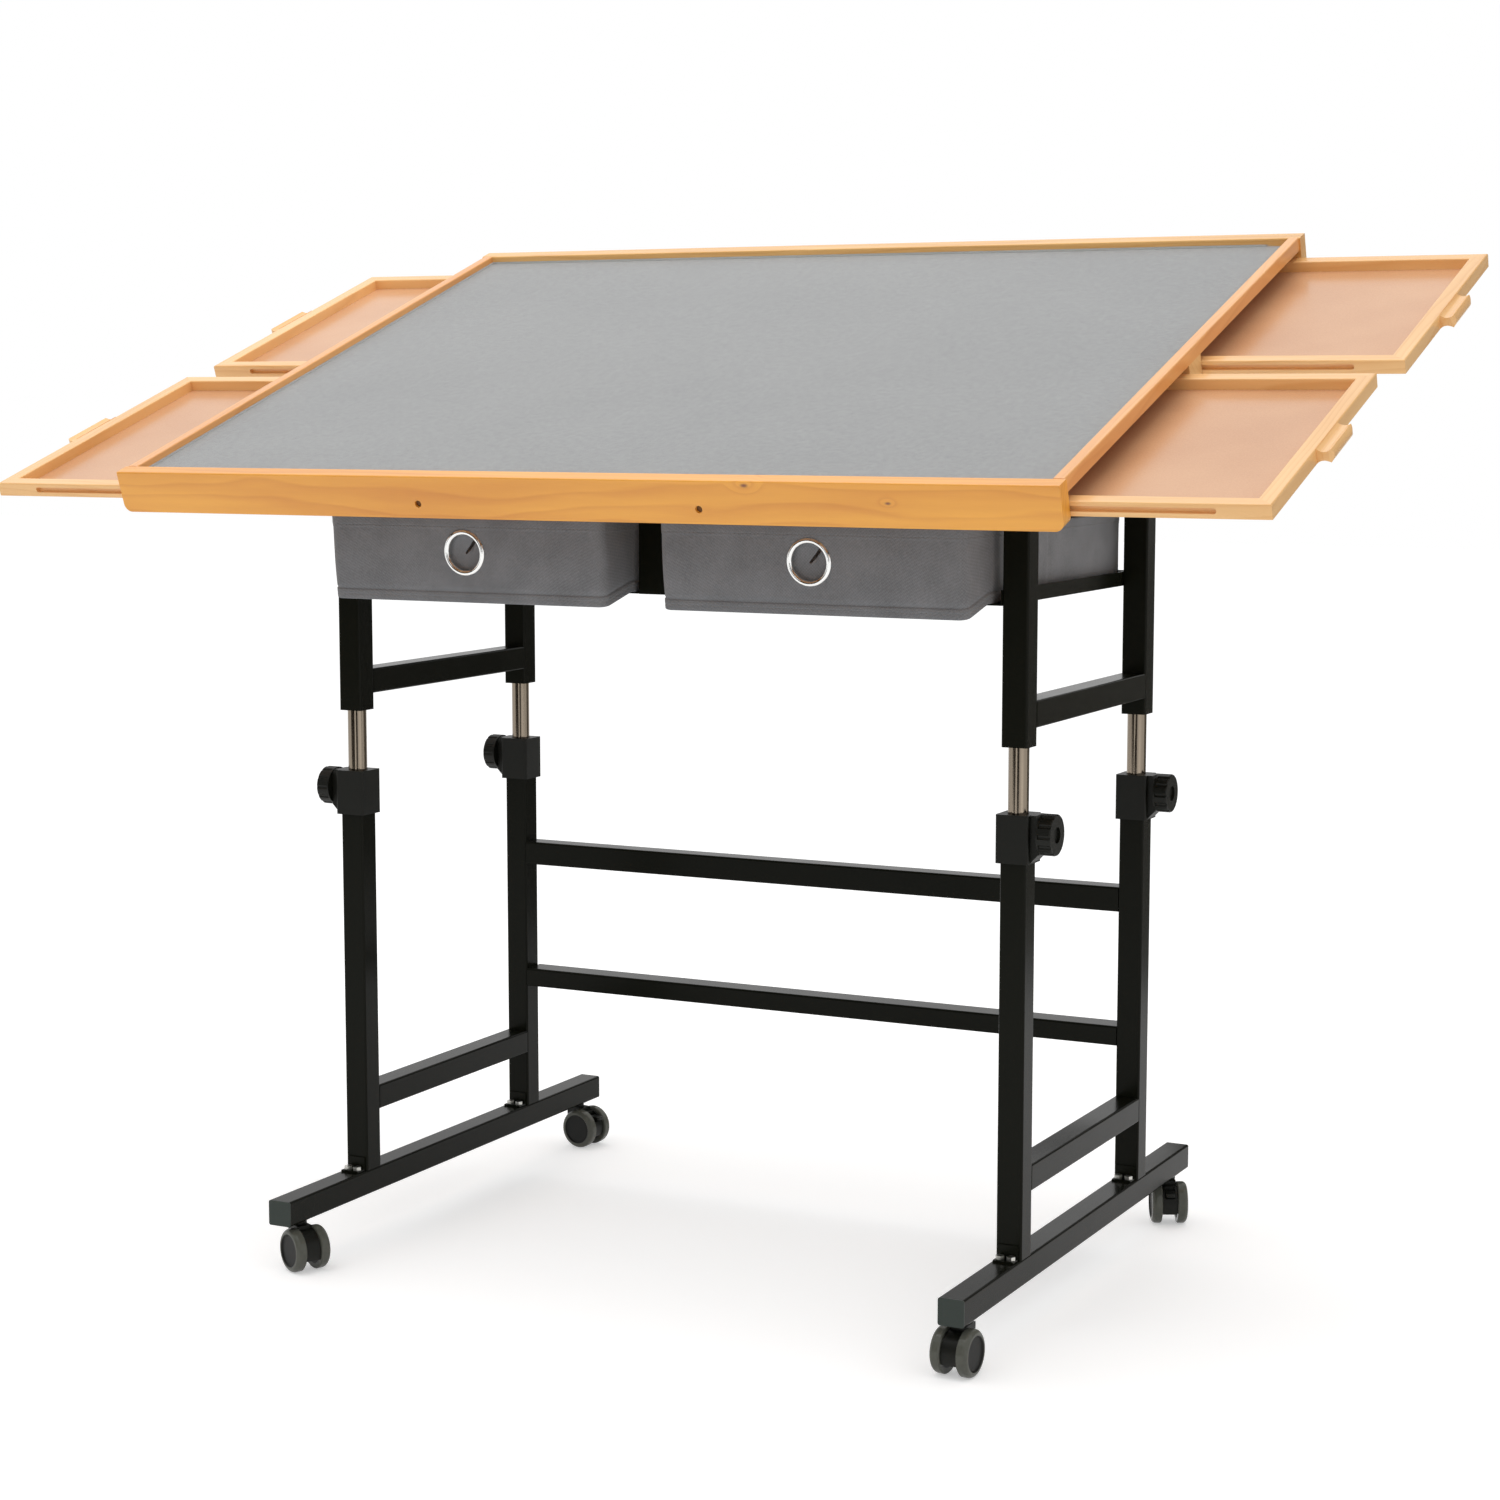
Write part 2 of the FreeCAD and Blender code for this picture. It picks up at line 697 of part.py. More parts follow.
def write_upper_frame():
    for name, side in (("left", -1), ("right", 1)):
        save("upper_legs_" + name, upper_leg(side, -1), upper_leg(side, 1))
        save("tilt_knob_" + name, tilt_knob(side))
    save("lift_rods", *[lift_rod(side, end) for name, side, end in corners])
    middle = upper_leg_bottom + upper_bar_rise + tube / 2
    save("upper_cross_bars", *[hollow_bar(Vector(side * leg_x, -inner_y, middle),
                                          Vector(side * leg_x, inner_y, middle)) for side in (-1, 1)])
    save("side_top_bars", side_top_bar(-1), side_top_bar(1))
    save("end_top_bars", end_top_bar(-1), end_top_bar(1))
    save("bin_side_rails", bin_side_rail(-1), bin_side_rail(1))
    save("bin_centre_runner", bin_centre_runner())
    save("bin_hanger_plates", hanger_plate(-1), hanger_plate(1))
    bolts = []
    for name, side, end in corners:
        seat = Vector(side * (inner_x - sheet_steel), end * leg_y, rail_bottom_z + rail_lip / 2)
        bolts.append(hex_bolt(seat, X * -side, sheet_steel + 2 * tube_wall))
    for end in (-1, 1):
        for seat in hanger_seats(end):
            bolts.append(hex_bolt(seat, Y * end, hanger_thick + 2 * tube_wall))
    save("upper_frame_bolts", *bolts)
    save("tilt_pivot_bolts", pivot_bolt(-1), pivot_bolt(1), clamp_spacer(-1), clamp_spacer(1))
    pad_top = pivot_z + pivot_below - rail_height - sliding_gap
    pad_y = -leg_y - pivot_in + tray_depth / 2
    save("rest_pads", *[bar(pad_radius, Vector(side * leg_x, pad_y, upper_leg_top),
                            Vector(side * leg_x, pad_y, pad_top)) for side in (-1, 1)])


# ---------------------------------------------------------------- tray
# Tray pieces are drawn flat: x across, y from the tray's front edge, z up from its top face.

lean = math.radians(tilt)
tray_front_y = -leg_y - pivot_in * math.cos(lean) - pivot_below * math.sin(lean)
tray_front_z = pivot_z - pivot_in * math.sin(lean) + pivot_below * math.cos(lean)
clamp_angle = math.degrees(math.asin(clamp_drop / quadrant_radius))
clamp_y = -leg_y + quadrant_radius * math.cos(math.radians(clamp_angle))
clamp_z = pivot_z - quadrant_radius * math.sin(math.radians(clamp_angle))


def tilted(shape):
    """Puts a piece drawn on the flat tray where the tilted tray has it."""
    placed = shape.copy()
    placed.rotate(Vector(), X, tilt)
    placed.translate(Vector(0, tray_front_y, tray_front_z))
    return placed


def arm_housing(front, back):
    """Cutters of the shallow housings that let the arms' flanges in flush from below."""
    cutters = []
    for side in (-1, 1):
        edge = sorted((side * (arm_out + arm_let_in_gap), side * (arm_out - arm_flange - arm_let_in_gap)))
        cutters.append(block(edge[0], edge[1], front, back, -rail_height - past, -rail_height + arm_thick))
    return cutters


def screw_spots():
    """Where the screws go up through the arms' flanges, on the flat tray."""
    across = arm_out - arm_flange / 2 - arm_thick / 2
    along = (rail_thick / 2, tray_depth / 2 - divider_width / 4, tray_depth / 2 + divider_width / 4,
             tray_depth - rail_thick / 2)
    return [Vector(side * across, y, -rail_height) for side in (-1, 1) for y in along]


def countersunk(spot, direction=Z, length=screw_length, radius=screw_head):
    """Countersunk wood screw whose head is flush at a spot."""
    head = Part.makeCone(radius, screw_radius, radius - screw_radius, spot, direction)
    return head.fuse(Part.makeCylinder(screw_radius, length, spot, direction))


def runner_seats():
    """Where the runners' screws enter the front and back rails, and which way they go."""
    height = runner_top - runner_height / 2
    return [(Vector(side * runner_screw_x, face, height), way)
            for side in (-1, 1) for face, way in ((0, Y), (tray_depth, -Y))]


def runner_screws():
    """Screws that hold the drawer runners behind the front and back rails."""
    length = rail_thick + runner_depth - runner_screw_sink - past
    return [countersunk(seat + way * runner_screw_sink, way, length, runner_screw_head)
            for seat, way in runner_seats()]


def screw_wells():
    """Cutters of the wells that sink those screws' heads below the rails' faces."""
    return [bar(screw_well, seat - way * past, seat + way * runner_screw_sink)
            for seat, way in runner_seats()]


def long_rail(at_back):
    """Front or back rail: deep, grooved for the board, with rounded lower corners."""
    rail = block(-half_tray, half_tray, 0, rail_thick, -rail_height, 0)
    rail = rounded(rail, rail_corner, lambda edge: runs_along(edge, Y) and edge.BoundBox.ZMax < -past)
    rail = rounded(rail, rail_edge, lambda edge: runs_along(edge, X) and edge.BoundBox.ZMin > -past)
    groove = block(-side_rail_out, side_rail_out, rail_thick - board_let_in, rail_thick + past,
                   board_bottom, board_top)
    rail = rail.cut(groove)
    rail = rail.cut(arm_housing(arm_end_inset - arm_let_in_gap, rail_thick + past))
    if at_back:
        rail.rotate(Vector(0, rail_thick / 2, 0), Z, 180)
        rail.translate(Vector(0, tray_depth - rail_thick, 0))
    spots = [spot for spot in screw_spots() if (spot.y > tray_depth / 2 + divider_width) == at_back
             and abs(spot.y - tray_depth / 2) > divider_width]
    for spot in spots:
        rail = rail.cut(bar(screw_radius, spot, spot + Z * screw_length))
    return rail.cut(runner_screws() + screw_wells())


def tray_side_rail(side):
    """Shallow rail at a side of the tray, above the drawers."""
    edge = sorted((side * side_rail_in, side * side_rail_out))
    rail = block(edge[0], edge[1], rail_thick, tray_depth - rail_thick, board_bottom, 0)
    rail = rounded(rail, rail_edge, lambda line: runs_along(line, Y) and line.BoundBox.ZMin > -past)
    rebate = sorted((side * (side_rail_in - past), side * (side_rail_in + board_let_in)))
    return rail.cut(block(rebate[0], rebate[1], 0, tray_depth, board_bottom - past, board_top))


def drawer_dividers():
    """Rail across the tray between front and back drawers, and the two that part left from right."""
    cross = block(-side_rail_out, side_rail_out, divider_front, divider_back, -rail_height, board_bottom)
    cross = cross.cut(arm_housing(divider_front - past, divider_back + past))
    for spot in screw_spots():
        cross = cross.cut(bar(screw_radius, spot, spot + Z * screw_length))
    half = divider_width / 2
    front = block(-half, half, rail_thick, divider_front, -rail_height, board_bottom)
    back = block(-half, half, divider_back, tray_depth - rail_thick, -rail_height, board_bottom)
    return [cross, front, back]


def drawer_runners():
    """Wooden strips on both sides of each drawer bay that the drawers' grooves ride on."""
    faces = ((rail_thick, 1), (divider_front, -1), (divider_back, 1), (tray_depth - rail_thick, -1))
    outer_end = side_rail_out - groove_stop - runner_end_gap
    strips = []
    for side in (-1, 1):
        ends = sorted((side * runner_inner_end, side * outer_end))
        for face, way in faces:
            edge = sorted((face, face + way * runner_depth))
            strip = block(ends[0], ends[1], edge[0], edge[1], runner_top - runner_height, runner_top)
            strips.append(strip.cut(runner_screws()))
    return strips


def ring_slice(inner, outer, first, last, thick):
    """Part of a flat ring about the tray's pivot, between two angles below the tray's plane."""
    ring = Part.makeCylinder(outer, thick, Vector(), X)
    ring = ring.cut(Part.makeCylinder(inner, thick + 2 * past, Vector(-past, 0, 0), X))
    reach = 2 * outer
    rays = [Vector(-past, reach * math.cos(math.radians(turn)), -reach * math.sin(math.radians(turn)))
            for turn in (first, last)]
    return ring.common(prism([Vector(-past, 0, 0)] + rays, X * (thick + 2 * past)))


def on_arc(turn):
    """Point of the slot's centre line, in the plane of the arm, about the pivot."""
    return Vector(0, quadrant_radius * math.cos(math.radians(turn)),
                  -quadrant_radius * math.sin(math.radians(turn)))


def tilt_arm(side):
    """Folded steel arm: a flange under the rails, a tapered web and the slotted quadrant."""
    back = tray_depth - arm_start
    top = pivot_below - rail_height
    web_bottom = pivot_below - rail_height - arm_deep
    outline = [(arm_start, top), (back, top), (back, top - arm_end_deep), (back - arm_taper, web_bottom),
               (arm_start + arm_taper, web_bottom), (arm_start, top - arm_end_deep)]
    web = prism([Vector(0, y - pivot_in, z) for y, z in outline], X * arm_thick)
    slot_first = clamp_angle - slot_spare
    slot_last = clamp_angle + tilt + slot_spare
    inner = quadrant_radius - quadrant_half_width
    outer = quadrant_radius + quadrant_half_width
    lobe = ring_slice(inner, outer, 0.0, slot_last, arm_thick)
    tip = bar(quadrant_half_width, on_arc(slot_last), on_arc(slot_last) + X * arm_thick)
    plate = web.fuse([lobe, tip]).removeSplitter()
    slot_half = stud_radius + slot_clearance
    slot = ring_slice(quadrant_radius - slot_half, quadrant_radius + slot_half, slot_first, slot_last,
                      arm_thick)
    ends = [bar(slot_half, on_arc(turn) - X * past, on_arc(turn) + X * (arm_thick + past))
            for turn in (slot_first, slot_last)]
    plate = plate.cut([slot] + ends)
    plate = plate.cut(bar(stud_radius + running_gap, -X * past, X * (arm_thick + past)))
    plate.translate(Vector(arm_in, pivot_in, -pivot_below))
    flange = block(arm_out - arm_flange, arm_out, arm_end_inset, tray_depth - arm_end_inset,
                   -rail_height, -rail_height + arm_thick)
    arm = plate.fuse(flange).removeSplitter()
    if side < 0:
        arm = arm.mirror(Vector(), X)
    for spot in screw_spots():
        arm = arm.cut(countersunk(spot))
    return arm


def cover():
    """Clear sheet that lies on the felt inside the rails, one back corner rounded."""
    edge = side_rail_in - cover_gap
    bottom = -felt_depth + sliding_gap
    sheet = block(-edge, edge, rail_thick + cover_gap, tray_depth - rail_thick - cover_gap,
                  bottom, bottom + cover_thick)
    return rounded(sheet, cover_corner, lambda line: runs_along(line, Z)
                   and line.BoundBox.XMin > 0 and line.BoundBox.YMin > tray_depth / 2)


def write_tray():
    save("front_rail", tilted(long_rail(False)))
    save("back_rail", tilted(long_rail(True)))
    save("tray_side_rails", tilted(tray_side_rail(-1)), tilted(tray_side_rail(1)))
    save("drawer_dividers", *[tilted(part) for part in drawer_dividers()])
    save("drawer_runners", *[tilted(part) for part in drawer_runners()])
    edge = side_rail_in + board_let_in
    board = block(-edge, edge, rail_thick - board_let_in, tray_depth - rail_thick + board_let_in,
                  board_bottom, board_top)
    save("tray_board", tilted(board))
    felt = block(-side_rail_in, side_rail_in, rail_thick, tray_depth - rail_thick, board_top, -felt_depth)
    save("felt_sheet", tilted(felt))
    save("tilt_arms", tilted(tilt_arm(-1)), tilted(tilt_arm(1)))
    screws = [countersunk(spot) for spot in screw_spots()] + runner_screws()
    save("tray_screws", *[tilted(screw) for screw in screws])
    save("cover", tilted(cover()))


# ---------------------------------------------------------------- drawers
# A drawer is drawn with its outer face at x = 0 and the drawer behind it, towards -x.

bay_front = rail_thick + drawer_gap
bay_back = divider_front - drawer_gap
drawer_top = -drawer_drop
drawer_floor = drawer_top - drawer_height


def mitred_rail(corner_out, next_out, corner_in, next_in):
    """One side of a drawer's frame, cut at 45 degrees where it meets its neighbours."""
    outline = [Vector(x, y, drawer_floor) for x, y in (corner_out, next_out, next_in, corner_in)]
    rail = prism(outline, Z * drawer_height)
    along = Vector(next_out[0] - corner_out[0], next_out[1] - corner_out[1], 0)
    return rounded(rail, rail_edge, lambda edge: runs_along(edge, along)
                   and edge.BoundBox.ZMin > drawer_top - past)


def drawer_grooves():
    """Cutters of the two grooves that ride on the runners, round at their outer ends."""
    deep = runner_depth + sliding_gap - drawer_gap
    high = runner_height + 2 * sliding_gap
    middle = runner_top - runner_height / 2
    end = -groove_stop - high / 2
    cutters = []
    for y0, y1 in ((bay_front - past, bay_front + deep), (bay_back - deep, bay_back + past)):
        cutters.append(block(-drawer_length - past, end, y0, y1, middle - high / 2, middle + high / 2))
        cutters.append(bar(high / 2, Vector(end, y0, middle), Vector(end, y1, middle)))
    return cutters


def drawer_rails():
    """The four mitred rails, grooved outside and rebated below for the bottom."""
    outer = [(0, bay_front), (0, bay_back), (-drawer_length, bay_back), (-drawer_length, bay_front)]
    low = bay_front + drawer_rail
    high = bay_back - drawer_rail
    inner = [(-drawer_rail, low), (-drawer_rail, high), (drawer_rail - drawer_length, high),
             (drawer_rail - drawer_length, low)]
    rails = []
    for number in range(4):
        following = (number + 1) % 4
        rail = mitred_rail(outer[number], outer[following], inner[number], inner[following])
        rails.append(rail.cut(drawer_grooves() + [drawer_floor_board()]))
    return rails


def drawer_pull():
    """Wooden pull: hollowed above and below for the fingers, with a rounded outline."""
    middle_y = (bay_front + bay_back) / 2
    middle_z = (drawer_top + drawer_floor) / 2
    half = drawer_height / 2
    waist = pull_waist / 2
    lip = pull_lip / 2

    def at(x, z):
        return Vector(x, middle_y - pull_length / 2, middle_z + z)

    edges = [Part.Arc(at(0, half), at(pull_hollow, waist), at(pull_nose, lip)).toShape(),
             Part.Arc(at(pull_nose, lip), at(pull_reach, 0), at(pull_nose, -lip)).toShape(),
             Part.Arc(at(pull_nose, -lip), at(pull_hollow, -waist), at(0, -half)).toShape(),
             Part.makeLine(at(0, -half), at(0, half))]
    pull = Part.Face(Part.Wire(edges)).extrude(Y * pull_length)
    plan = block(-past, pull_reach, middle_y - pull_length / 2, middle_y + pull_length / 2,
                 drawer_floor - past, drawer_top + past)
    plan = rounded(plan, pull_corner, lambda edge: runs_along(edge, Z) and edge.BoundBox.XMin > 0)
    return pull.common(plan)


def drawer_floor_board():
    """Thin hardboard bottom of a drawer."""
    return block(-drawer_length + drawer_rail - bottom_let_in, -drawer_rail + bottom_let_in,
                 bay_front + drawer_rail - bottom_let_in, bay_back - drawer_rail + bottom_let_in,
                 drawer_floor, drawer_floor + drawer_bottom)


def set_drawer(shape, side, end, opened):
    """Slides a drawer to its opening, on the flat tray, and tilts it with the tray."""
    placed = shape.copy()
    placed.translate(X * (side_rail_out + opened))
    if side < 0:
        placed = placed.mirror(Vector(), X)
    if end > 0:
        placed = placed.mirror(Vector(0, tray_depth / 2, 0), Y)
    return tilted(placed)


drawer_open = {"front_left": open_front_left, "back_left": open_back_left,
               "front_right": open_front_right, "back_right": open_back_right}


def write_drawers():
    for name, side, end in corners:
        opened = drawer_open[name]
        frame = drawer_rails() + [drawer_pull()]
        save("drawer_frame_" + name, *[set_drawer(part, side, end, opened) for part in frame])
        save("drawer_bottom_" + name, set_drawer(drawer_floor_board(), side, end, opened))


# ---------------------------------------------------------------- bins

bin_inner_x = inner_x - bin_play * bin_play_outside - bin_width
bin_front = -outer_y - bin_out
front_lean = math.degrees(math.atan2(bin_lean, bin_height + bin_droop))


def bin_section(inset, floor_inset):
    """Side view of a bin: the front leans, and the floor droops ahead of the rails."""
    droop_start = bin_front + bin_lean + bin_droop_length
    mouth = bin_top + past if inset else bin_top
    points = [(bin_front + inset, mouth),
              (bin_front + bin_lean + inset, bin_floor_height - bin_droop + floor_inset),
              (droop_start + inset, bin_floor_height + floor_inset),
              (bin_back - inset, bin_floor_height + floor_inset),
              (bin_back - inset, mouth)]
    return [Vector(inset, y, z) for y, z in points]


def fabric_bin(side):
    """Open fabric bin, with the hole of its pull ring through the front."""
    shell = prism(bin_section(0.0, 0.0), X * bin_width)
    shell = rounded(shell, bin_corner, lambda edge: edge.BoundBox.YMax < bin_front + bin_lean + past
                    and edge.BoundBox.ZLength > bin_height)
    shell = shell.cut(prism(bin_section(bin_wall, bin_wall), X * (bin_width - 2 * bin_wall)))
    shell.translate(Vector(bin_inner_x, 0, 0))
    through = Rotation(X, front_lean).multVec(Y) * 3 * bin_wall
    shell = shell.cut(bar(ring_hole, ring_centre(1) - through, ring_centre(1) + through))
    return shell if side > 0 else shell.mirror(Vector(), X)


def ring_centre(side):
    """Middle of a pull ring on the front face of its bin."""
    down = (bin_top - ring_height) / (bin_height + bin_droop)
    return Vector(side * (bin_inner_x + bin_width / 2), bin_front + bin_lean * down, ring_height)


def pull_ring(side):
    """Metal eyelet in the front of a bin: a round lip outside and a sleeve through the wall."""
    lip = (ring_radius - ring_hole) / 2
    lip_centre = ring_hole + lip
    outer = Part.Arc(Vector(ring_radius, 0, 0), Vector(lip_centre, -ring_proud, 0),
                     Vector(ring_hole - sheet_steel, 0, 0)).toShape()
    back = Part.makeLine(Vector(ring_hole - sheet_steel, 0, 0), Vector(ring_hole - sheet_steel, bin_wall, 0))
    sleeve = Part.makeLine(Vector(ring_hole - sheet_steel, bin_wall, 0), Vector(ring_hole, bin_wall, 0))
    inner = Part.makeLine(Vector(ring_hole, bin_wall, 0), Vector(ring_hole, 0, 0))
    seat = Part.makeLine(Vector(ring_hole, 0, 0), Vector(ring_radius, 0, 0))
    ring = Part.Face(Part.Wire([outer, back, sleeve, inner, seat])).revolve(Vector(), Y, 360)
    ring.rotate(Vector(), X, front_lean)
    ring.translate(ring_centre(side))
    return ring


def write_bins():
    for name, side in (("left", -1), ("right", 1)):
        save("bin_" + name, fabric_bin(side))
        save("bin_ring_" + name, pull_ring(side))


write_lower_frame()
write_casters()
write_upper_frame()
write_tray()
write_drawers()
write_bins()
write_nodes()
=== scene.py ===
# %% [markdown]
# # A jigsaw puzzle table with drawers
#
# The steel frame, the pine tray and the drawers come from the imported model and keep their
# shape. This lesson gives each of them the finish of its real material, sews the two fabric
# bins, stitches them, and lights the table in a pale studio. Lengths are in metres.

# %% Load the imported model
import json
import math

import bpy
import numpy as np
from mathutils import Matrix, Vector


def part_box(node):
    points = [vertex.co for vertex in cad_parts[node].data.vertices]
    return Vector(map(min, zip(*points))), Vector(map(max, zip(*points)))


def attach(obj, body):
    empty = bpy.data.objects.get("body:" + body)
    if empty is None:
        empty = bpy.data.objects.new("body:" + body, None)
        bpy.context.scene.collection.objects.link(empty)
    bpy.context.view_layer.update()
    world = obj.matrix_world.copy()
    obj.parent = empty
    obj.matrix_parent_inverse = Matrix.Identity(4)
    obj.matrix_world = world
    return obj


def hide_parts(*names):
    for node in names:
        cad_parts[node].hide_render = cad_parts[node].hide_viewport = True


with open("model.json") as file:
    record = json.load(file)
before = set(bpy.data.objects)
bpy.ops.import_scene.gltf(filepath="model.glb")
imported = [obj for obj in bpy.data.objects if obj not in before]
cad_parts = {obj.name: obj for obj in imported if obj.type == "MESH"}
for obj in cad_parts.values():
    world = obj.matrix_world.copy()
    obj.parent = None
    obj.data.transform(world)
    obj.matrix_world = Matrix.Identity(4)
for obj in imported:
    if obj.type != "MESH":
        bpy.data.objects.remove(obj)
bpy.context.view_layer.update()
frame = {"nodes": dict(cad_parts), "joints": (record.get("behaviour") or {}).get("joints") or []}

nodes = frame["nodes"]

# %% [markdown]
# ## Where things are
#
# The table's middle is not at the origin, because the drawers stand open by different
# amounts. The joint that tilts the tray lies in the middle plane, so it gives the middle,
# and the tray's own flat axes are worked out from it: u across, v from the front edge
# towards the back, and w up from the top of the rails.

# %% Middle plane and the tray's own axes
MM = 0.001
TILT = math.radians(19.0)
PIVOT_IN = 215.0 * MM
PIVOT_BELOW = 54.0 * MM

pivot = next(joint for joint in frame["joints"] if joint["name"] == "tray_tilt")["pos_m"]
middle_x = pivot[0]
tray_origin = (
    middle_x,
    pivot[1] - PIVOT_IN * math.cos(TILT) - PIVOT_BELOW * math.sin(TILT),
    pivot[2] - PIVOT_IN * math.sin(TILT) + PIVOT_BELOW * math.cos(TILT),
)


def on_tray(points):
    """Row-frame points as (u, v, w): shifted to the tray's origin and turned back by its tilt."""
    shifted = points - np.array(tray_origin)
    v = shifted[:, 1] * math.cos(TILT) + shifted[:, 2] * math.sin(TILT)
    w = shifted[:, 2] * math.cos(TILT) - shifted[:, 1] * math.sin(TILT)
    return np.stack([shifted[:, 0], v, w], axis=1)


def points_of(name):
    """All corner points of a node as an array."""
    mesh = nodes[name].data
    points = np.empty(len(mesh.vertices) * 3)
    mesh.vertices.foreach_get("co", points)
    return points.reshape(-1, 3)


print("tray origin:", [round(value, 4) for value in tray_origin])

# %% [markdown]
# ## Helpers for materials
#
# Colours are written as the hex values that a paint chart gives, which are in sRGB, while
# Blender's nodes work in linear light. One function makes the change. Another one adds any
# node and fills its inputs, so that each material below reads as a list of its steps. The
# shader's own inputs are filled in the same way: by a link where a value varies over the
# surface, and by a plain value where it does not. Noise keeps mostly to its middle levels, so
# a pattern that should reach both its ends is stretched from those.

# %% Colour and node helpers
MIDDLE_LEVELS = (0.3, 0.7)


def colour(code):
    """Turns '#RRGGBB' in sRGB to a linear colour: a short straight part near black, a power above."""
    values = [int(code[place:place + 2], 16) / 255 for place in (1, 3, 5)]
    linear = [value / 12.92 if value <= 0.04045 else ((value + 0.055) / 1.055) ** 2.4 for value in values]
    return (*linear, 1.0)


def fill(tree, node, inputs):
    """Fills named inputs of a node: a value is set, and a socket or a node's own output is linked."""
    for name, value in inputs.items():
        if isinstance(value, bpy.types.Node):
            value = next(output for output in value.outputs if output.enabled)
        if isinstance(value, bpy.types.NodeSocket):
            tree.links.new(value, node.inputs[name])
        else:
            node.inputs[name].default_value = value


def add(tree, kind, inputs=None, **settings):
    """Adds a shader node, applies its settings and fills its inputs."""
    node = tree.nodes.new("ShaderNode" + kind)
    for name, value in settings.items():
        setattr(node, name, value)
    fill(tree, node, inputs or {})
    return node


def wander(tree, place, scale, low, high, detail=2.0, levels=(0.0, 1.0)):
    """Noise that wanders from low to high while its own value goes from one level to the other."""
    noise = add(tree, "TexNoise", {"Vector": place, "Scale": scale, "Detail": detail})
    return add(tree, "MapRange", {"Value": noise, "From Min": levels[0], "From Max": levels[1],
                                  "To Min": low, "To Max": high})


def new_material(name):
    """An empty material with its Principled shader already joined to the output."""
    material = bpy.data.materials.new(name)
    material.use_nodes = True
    tree = material.node_tree
    shader = tree.nodes["Principled BSDF"]
    return material, tree, shader


def finish_nodes(material, *names):
    """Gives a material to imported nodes."""
    for name in names:
        slots = nodes[name].data.materials
        slots.clear()
        slots.append(material)


# %% [markdown]
# ## Powder-coated steel
#
# The tubes are coated with baked polyester powder. It melts to a satin skin with a faint
# orange-peel ripple, about a millimetre from crest to crest. The ripple is a noise bump,
# and a slower noise makes the gloss wander a little.

# %% Powder coat on the tubes
PEEL_SIZE = 1.3 * MM


def powder_coat(name, code):
    """Satin black powder coat: noise of one peel size as a low bump, and slow noise as its gloss."""
    material, tree, shader = new_material(name)
    place = add(tree, "TexCoord").outputs["Object"]
    peel = add(tree, "TexNoise", {"Vector": place, "Scale": 1 / PEEL_SIZE, "Detail": 1.0})
    gloss = wander(tree, place, 14.0, 0.2, 0.28)
    bump = add(tree, "Bump", {"Height": peel, "Strength": 0.08, "Distance": 0.2 * MM})
    fill(tree, shader, {"Base Color": colour(code), "Roughness": gloss, "IOR": 1.5,
                        "Specular IOR Level": 0.07, "Normal": bump})
    return material


black_coat = powder_coat("powder_coated_steel", "#14150F")
finish_nodes(
    black_coat, "foot_bars", "lower_legs_left", "lower_legs_right", "lower_cross_bars", "upper_stretcher",
    "lower_stretcher", "base_brackets", "upper_legs_left", "upper_legs_right", "upper_cross_bars",
    "side_top_bars", "end_top_bars", "bin_side_rails", "bin_centre_runner", "bin_hanger_plates", "tilt_arms",
)
print("powder coat on the frame")

# %% [markdown]
# ## Chromed rods, plated bolts and screws
#
# Metals keep the default index of refraction and take their colour as reflectance. Hard
# chrome on a drawn rod is nearly a mirror, with hair-fine marks along the draw. The rods'
# colour is painted darker and browner than chrome, a painted reflection of dark, warm
# surroundings, and the eyelets' colour is painted brighter, a painted highlight. Zinc plate
# on small bolts is duller and slightly blotchy, and the wood screws are bronzed dark.

# %% Chrome, zinc and bronze
DRAW_MARK = 0.6 * MM


def metal(name, code, low, high, stretch=(1.0, 1.0, 1.0)):
    """Plated metal: stretched noise moves the roughness between low and high."""
    material, tree, shader = new_material(name)
    place = add(tree, "TexCoord").outputs["Object"]
    drawn = add(tree, "Mapping", {"Vector": place, "Scale": stretch})
    gloss = wander(tree, drawn, 1 / DRAW_MARK, low, high)
    fill(tree, shader, {"Base Color": colour(code), "Roughness": gloss, "Metallic": 1.0})
    return material


# Painted reflection: the rods' colour is darker and browner than chrome's own, standing in for the dark, warm
# surroundings they reflect.
chrome = metal("chromed_steel", "#84796B", 0.07, 0.16, (1.0, 1.0, 0.02))
# Painted highlight: the eyelets' colour is a lighter copy of the chrome, brighter than chrome's own.
chrome_painted_bright = metal("chromed_eyelet_painted_bright", "#E4E4E2", 0.08, 0.16)
zinc = metal("zinc_plated_steel", "#C4C4BE", 0.22, 0.4)
bronzed = metal("bronzed_steel", "#5E4028", 0.3, 0.45)
finish_nodes(chrome, "lift_rods")
finish_nodes(chrome_painted_bright, "bin_ring_left", "bin_ring_right")
finish_nodes(zinc, "base_bolts", "upper_frame_bolts", "tilt_pivot_bolts")
finish_nodes(bronzed, "tray_screws")
print("chrome, zinc and bronze")

# %% [markdown]
# ## Moulded plastics and the rubber pads
#
# The collars, knobs and caster housings are moulded in black nylon against a spark-eroded
# tool, which leaves a fine dull grain. The foot plugs are a slate polyethylene and the pads
# are rubber. All three are the same recipe with other colours and grain.

# %% Moulded plastics
GRAIN_SIZE = 0.7 * MM


